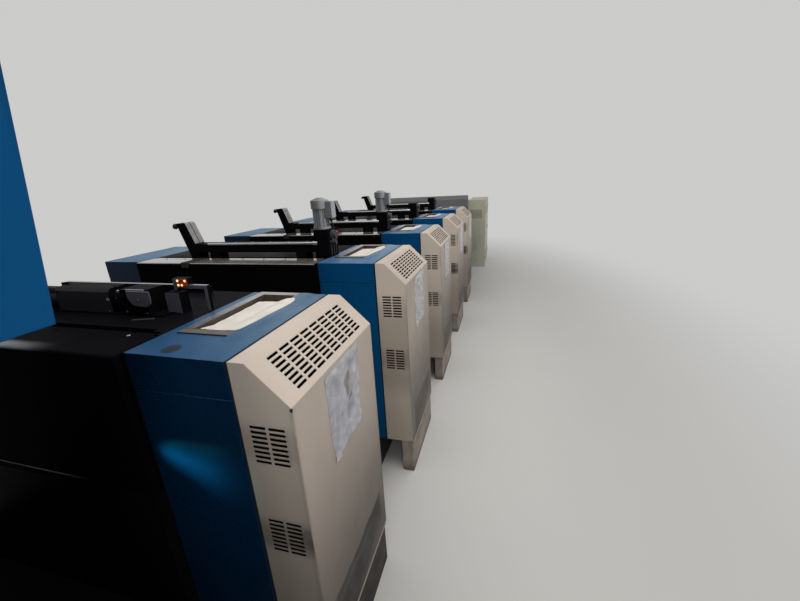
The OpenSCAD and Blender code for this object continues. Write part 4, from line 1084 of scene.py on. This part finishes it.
def feeder(piece, k):
    """Tapes, rollers and lays of the feed board, the suction head's fittings, doors and chains."""
    left, right = FEEDER_LEFT + 0.130, FEEDER_RIGHT - 0.130
    middle = (left + right) / 2
    run, rise = PILE_START - BOARD_START, 0.170
    slope, length = Vector((0.0, run, rise)).normalized(), hypot(run, rise)
    normal = Vector((0.0, -slope.z, slope.y))
    foot = at(k, middle, BOARD_START, FEEDER_TOP - 0.290)
    lanes = [0.19 * i for i in range(-3, 4)]
    for x in lanes:
        tape = foot + x * RIGHT
        piece.bar(tape + 0.02 * slope, tape + (length - 0.02) * slope, RIGHT, 0.040, 0.003, PANEL, 0.0008)
    for share in (0.22, 0.48, 0.74):
        across = foot + share * length * slope + 0.085 * normal
        half = (right - middle - 0.002) * RIGHT
        piece.rod(across - half, across + half, 0.011, STEEL)
        for x, side in product(lanes, (-0.045, 0.045)):
            hub, corner = across + (x + side) * RIGHT, Vector((0.011, 0.014, 0.014))
            piece.block(hub - corner, hub + corner, CAST, 0.002)
            wheel = hub - 0.060 * normal - 0.045 * slope
            piece.bar(hub, wheel, RIGHT, 0.012, 0.006, ZINC)
            piece.lathe(wheel + 0.007 * LEFT, RIGHT, [(0.0, 0.006), (0.0, 0.0225), (0.002, 0.024),
                                                      (0.012, 0.024), (0.014, 0.0225), (0.014, 0.006)], RUBBER)
    for x in (-0.62, 0.62):
        side = foot + x * RIGHT + 0.10 * length * slope
        piece.bar(side, side + 0.16 * slope, RIGHT, 0.030, 0.024, ZINC, 0.003)
        piece.lathe(side + 0.08 * slope + 0.012 * normal, normal, [(0.0, 0.009), (0.015, 0.009), (0.016, 0.016),
                                                                   (0.030, 0.016), (0.032, 0.013)], RUBBER, 20)
    # Suction head's cover, knobs and hoses
    top = FEEDER_TOP + 0.240
    piece.panel((FEEDER_LEFT + 0.10, PILE_START + 0.11, top), (FEEDER_RIGHT - 0.10, PILE_START + 0.29, top),
                2, 1, GREY)
    for i in range(4):
        piece.lathe((middle - 0.30 + 0.20 * i, PILE_START + 0.0003, FEEDER_TOP + 0.09), FRONT,
                    [(0.0, 0.012), (0.018, 0.012), (0.019, 0.022), (0.036, 0.024), (0.040, 0.020), (0.042, 0.0)],
                    RUBBER)
    for i in range(4):
        x = middle - 0.45 + 0.30 * i
        points = [at(k, x + 0.04 * sin(pi * t), PILE_START + 0.390 + 0.12 * sin(pi * t),
                     FEEDER_TOP + 0.150 - 0.18 * t) for t in (j / 18 for j in range(19))]
        piece.tube(points, 0.014, RUBBER, 14)
        for last, point in zip(points, points[1:-1]):
            piece.lathe(point, point - last, [(-0.002, 0.0135), (-0.001, 0.0160), (0.001, 0.0160),
                                              (0.002, 0.0135)], RUBBER, 14)
    # Doors and louvres of the frame
    for x, side, out in ((FEEDER_RIGHT, 1, RIGHT), (FEEDER_LEFT, -1, LEFT)):
        proud = x + 0.003 * side
        for low_y, high_y in ((0.06, 0.62), (0.65, 1.20)):
            piece.panel((x, FEEDER_START + low_y, 0.12), (x, FEEDER_START + high_y, 1.05), 0, side, BLUE)
        for y in (0.55, 0.72):
            piece.latch((proud, FEEDER_START + y, 0.62), out)
        piece.louvres((proud, FEEDER_START + 0.14, 0.22), (proud, FEEDER_START + 0.54, 0.40), out, 8, BLUE)
    piece.block((FEEDER_LEFT - 0.010, FEEDER_START + 1.28, 0.98), (FEEDER_LEFT + 0.001, FEEDER_START + 1.66, 1.05),
                BLACK, 0.002)
    piece.push_buttons((FEEDER_LEFT - 0.010, FEEDER_START + 1.32, 1.015), REAR, LEFT, 0.058,
                       GREEN, PANEL, PANEL, BLACK, BLACK, RED)
    piece.chains((left + 0.0060, right - 0.0060), (PILE_START + 0.05, PILE_BACK - 0.06), 68)


def feeder_cabinet(piece, k):
    """Doors, louvres, hinges and lid of the feeder's cabinet."""
    low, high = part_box("feeder_cabinet")
    half, proud = (low.y + high.y) / 2, high.x + 0.003
    for start, end, latch_y, hinge_y in ((low.y + 0.03, half - 0.008, half - 0.06, low.y + 0.027),
                                         (half + 0.008, high.y - 0.03, half + 0.06, high.y - 0.027)):
        piece.panel((high.x, start, 0.09), (high.x, end, high.z - 0.06), 0, 1, PALE)
        piece.latch((proud, latch_y, 0.80), RIGHT)
        for low_z, high_z in ((high.z - 0.30, high.z - 0.13), (0.16, 0.33)):
            piece.louvres((proud, start + 0.10, low_z), (proud, end - 0.10, high_z), RIGHT, 8, PALE)
        for z in (0.20, 0.72, high.z - 0.16):
            piece.rod((high.x + 0.004, hinge_y, z - 0.03), (high.x + 0.004, hinge_y, z + 0.03), 0.006, ZINC, 12)
    piece.block((low.x + 0.004, low.y + 0.004, high.z - 0.001), (high.x - 0.004, high.y - 0.004, high.z + 0.003),
                PALE)
    piece.louvres((low.x + 0.06, low.y, 1.02), (high.x - 0.06, low.y, 1.20), FRONT, 8, PALE)


# Scene

def add_camera():
    """Camera at the photograph's place and angle."""
    forward = Vector((sin(CAMERA_YAW) * cos(CAMERA_PITCH), cos(CAMERA_YAW) * cos(CAMERA_PITCH),
                      sin(CAMERA_PITCH)))
    level = Vector((cos(CAMERA_YAW), -sin(CAMERA_YAW), 0.0))
    above = level.cross(forward)
    right = level * cos(CAMERA_ROLL) + above * sin(CAMERA_ROLL)
    up = above * cos(CAMERA_ROLL) - level * sin(CAMERA_ROLL)
    data = bpy.data.cameras.new("camera")
    data.sensor_fit = "HORIZONTAL"
    data.sensor_width = SENSOR
    data.lens = LENS
    data.clip_start = 0.02
    data.clip_end = 100.0
    camera = bpy.data.objects.new("camera", data)
    x, y, z = CAMERA_PLACE
    turn = Matrix((right, up, -forward)).transposed().to_4x4()
    camera.matrix_world = Matrix.Translation(at(1, x, y, TOP + z)) @ turn
    bpy.context.scene.collection.objects.link(camera)
    bpy.context.scene.camera = camera


def area_light(name, place, target, size, power, spread, color, turn=0.0):
    data = bpy.data.lights.new(name, "AREA")
    data.shape = "RECTANGLE"
    data.size, data.size_y = size
    data.energy = power
    data.spread = radians(spread)
    data.color = color
    lamp = bpy.data.objects.new(name, data)
    lamp.location = place
    aim = (target - place).to_track_quat("-Z", "Y")
    lamp.rotation_euler = (aim @ Quaternion((0, 0, 1), turn)).to_euler()
    bpy.context.scene.collection.objects.link(lamp)


def seen_rays(tree):
    """1 for the rays that see the backdrop itself: from the camera, mirrored or through film."""
    path = tree.nodes.new("ShaderNodeLightPath")
    total = path.outputs["Is Camera Ray"]
    for kind in ("Is Glossy Ray", "Is Transmission Ray"):
        most = tree.nodes.new("ShaderNodeMath")
        most.operation = "MAXIMUM"
        tree.links.new(total, most.inputs[0])
        tree.links.new(path.outputs[kind], most.inputs[1])
        total = most.outputs[0]
    return total


def add_world():
    """Plain pale room for what sees it, and a weaker even light for the rest."""
    world = bpy.data.worlds.new("studio")
    world.use_nodes = True
    bpy.context.scene.world = world
    tree = world.node_tree
    even, seen = tree.nodes["Background"], tree.nodes.new("ShaderNodeBackground")
    for background, color, strength in ((even, (1.0, 0.975, 0.94, 1.0), 0.40), (seen, PALE_ROOM, 1.0)):
        background.inputs["Color"].default_value = color
        background.inputs["Strength"].default_value = strength
    choose = tree.nodes.new("ShaderNodeMixShader")
    for i, output in enumerate((seen_rays(tree), even.outputs[0], seen.outputs[0])):
        tree.links.new(output, choose.inputs[i])
    tree.links.new(choose.outputs[0], tree.nodes["World Output"].inputs["Surface"])


def add_floor():
    """Pale floor that keeps the press's shadow and throws little light back up."""
    mesh = bpy.data.meshes.new("studio_floor")
    mesh.from_pydata([(x * FLOOR_SIZE, y * FLOOR_SIZE, 0.0) for x, y in ((-1, -1), (1, -1), (1, 1), (-1, 1))],
                     [], [(0, 1, 2, 3)])
    floor = bpy.data.objects.new("studio_floor", mesh)
    bpy.context.scene.collection.objects.link(floor)
    s = Shader("studio_floor", (96, 96, 96))
    s.lay(s.mix(s.noise(0.8, 3.0), (200, 200, 198), (206, 206, 204)), seen_rays(s.tree))
    mesh.materials.append(s.finish(0.75, s.bump(s.noise(40.0, 3.0), 0.03, 0.001)))
    # Far from the press it passes into the room's own tone
    far = s.node("Emission", {"Color": PALE_ROOM})
    reach = s.node("VectorMath", {0: s.scaled((1.0, 0.5, 1.0))}, operation="LENGTH")
    blend = s.node("MixShader", {0: s.ramp(reach.outputs["Value"], 1.6, 5.0), 1: s.bsdf.outputs[0],
                                 2: far.outputs[0]})
    s.feed(s.tree.nodes["Material Output"], {"Surface": blend.outputs[0]})


def add_lights():
    """Soft ceiling light over the row, a side and a front light, and a small cool lamp before
    the first unit."""
    area_light("ceiling", at(1, 0.1, 1.9, 4.6), at(1, 0.1, 1.9, 0.0), (4.0, 6.6), 132.0, 180, (1.0, 0.985, 0.96))
    area_light("side", at(1, 1.9, 2.4, 3.3), at(1, 0.1, 2.2, 1.6), (7.0, 1.2), 13.0, 90, (1.0, 0.985, 0.97))
    area_light("front", at(1, 0.6, -1.7, 2.7), at(1, 0, 0, 1.40), (1.6, 0.8), 1.25, 32, (1.0, 0.985, 0.97))
    area_light("gleam", at(1, -0.245, -0.10, 1.046), at(1, -0.200, 0, 1.034), (0.19, 0.018), 0.17, 80,
               (0.02, 0.85, 0.85), -0.28)


# Pieces by name, slot, form, units and body
PIECES = (
    ("document_sleeve_{}", "plastic_film", sleeve, UNITS, "root"),
    ("tray_liner_{}", "white_paper", liner, UNITS, "root"),
    ("lid_ramp_{}", "blue_paint", lid_ramp, UNITS, "root"),
    ("joint_seal_{}", "black_rubber", lid_trim, UNITS, "root"),
    ("cabinet_trim_{}", "cream_paint", cabinet_trim, UNITS, "root"),
    ("console_lamps", "amber_lens", lamp_console, (1,), "root"),
    ("first_drive_details", "black_paint", first_drive, (1,), "root"),
    ("agitator_details_{}", "black_paint", agitator, UNITS[1:], "root"),
    ("motor_details_{}", "motor_grey", motor, (2, 3), "root"),
    ("guard_trim_{}", "black_guard", guard_trim, UNITS, "guard_{}"),
    ("plate_clamps_{}", "bright_steel", plate_clamps, UNITS, "root"),
    ("operator_side_trim_{}", "blue_paint", operator_side, UNITS, "root"),
    ("unit_back_{}", "black_paint", unit_back, UNITS, "root"),
    ("delivery_details", "blue_paint", delivery, (1,), "root"),
    ("feeder_details", "blue_paint", feeder, (1,), "root"),
    ("feeder_cabinet_details", "pale_paint", feeder_cabinet, (None,), "root"),
)

dress_nodes()
dress_first_rail()
for k in UNITS:
    dress_cabinet(k)
    dress_tray(k)
for k in UNITS[1:]:
    dress_top(k)
    slim_arm(k)
for name, slot, form, units, body in PIECES:
    for k in units:
        piece = Piece(k)
        form(piece, k)
        piece.done(name.format(k), body.format(k))
add_camera()
add_world()
add_floor()
add_lights()

bpy.context.scene.view_settings.view_transform = "Standard"
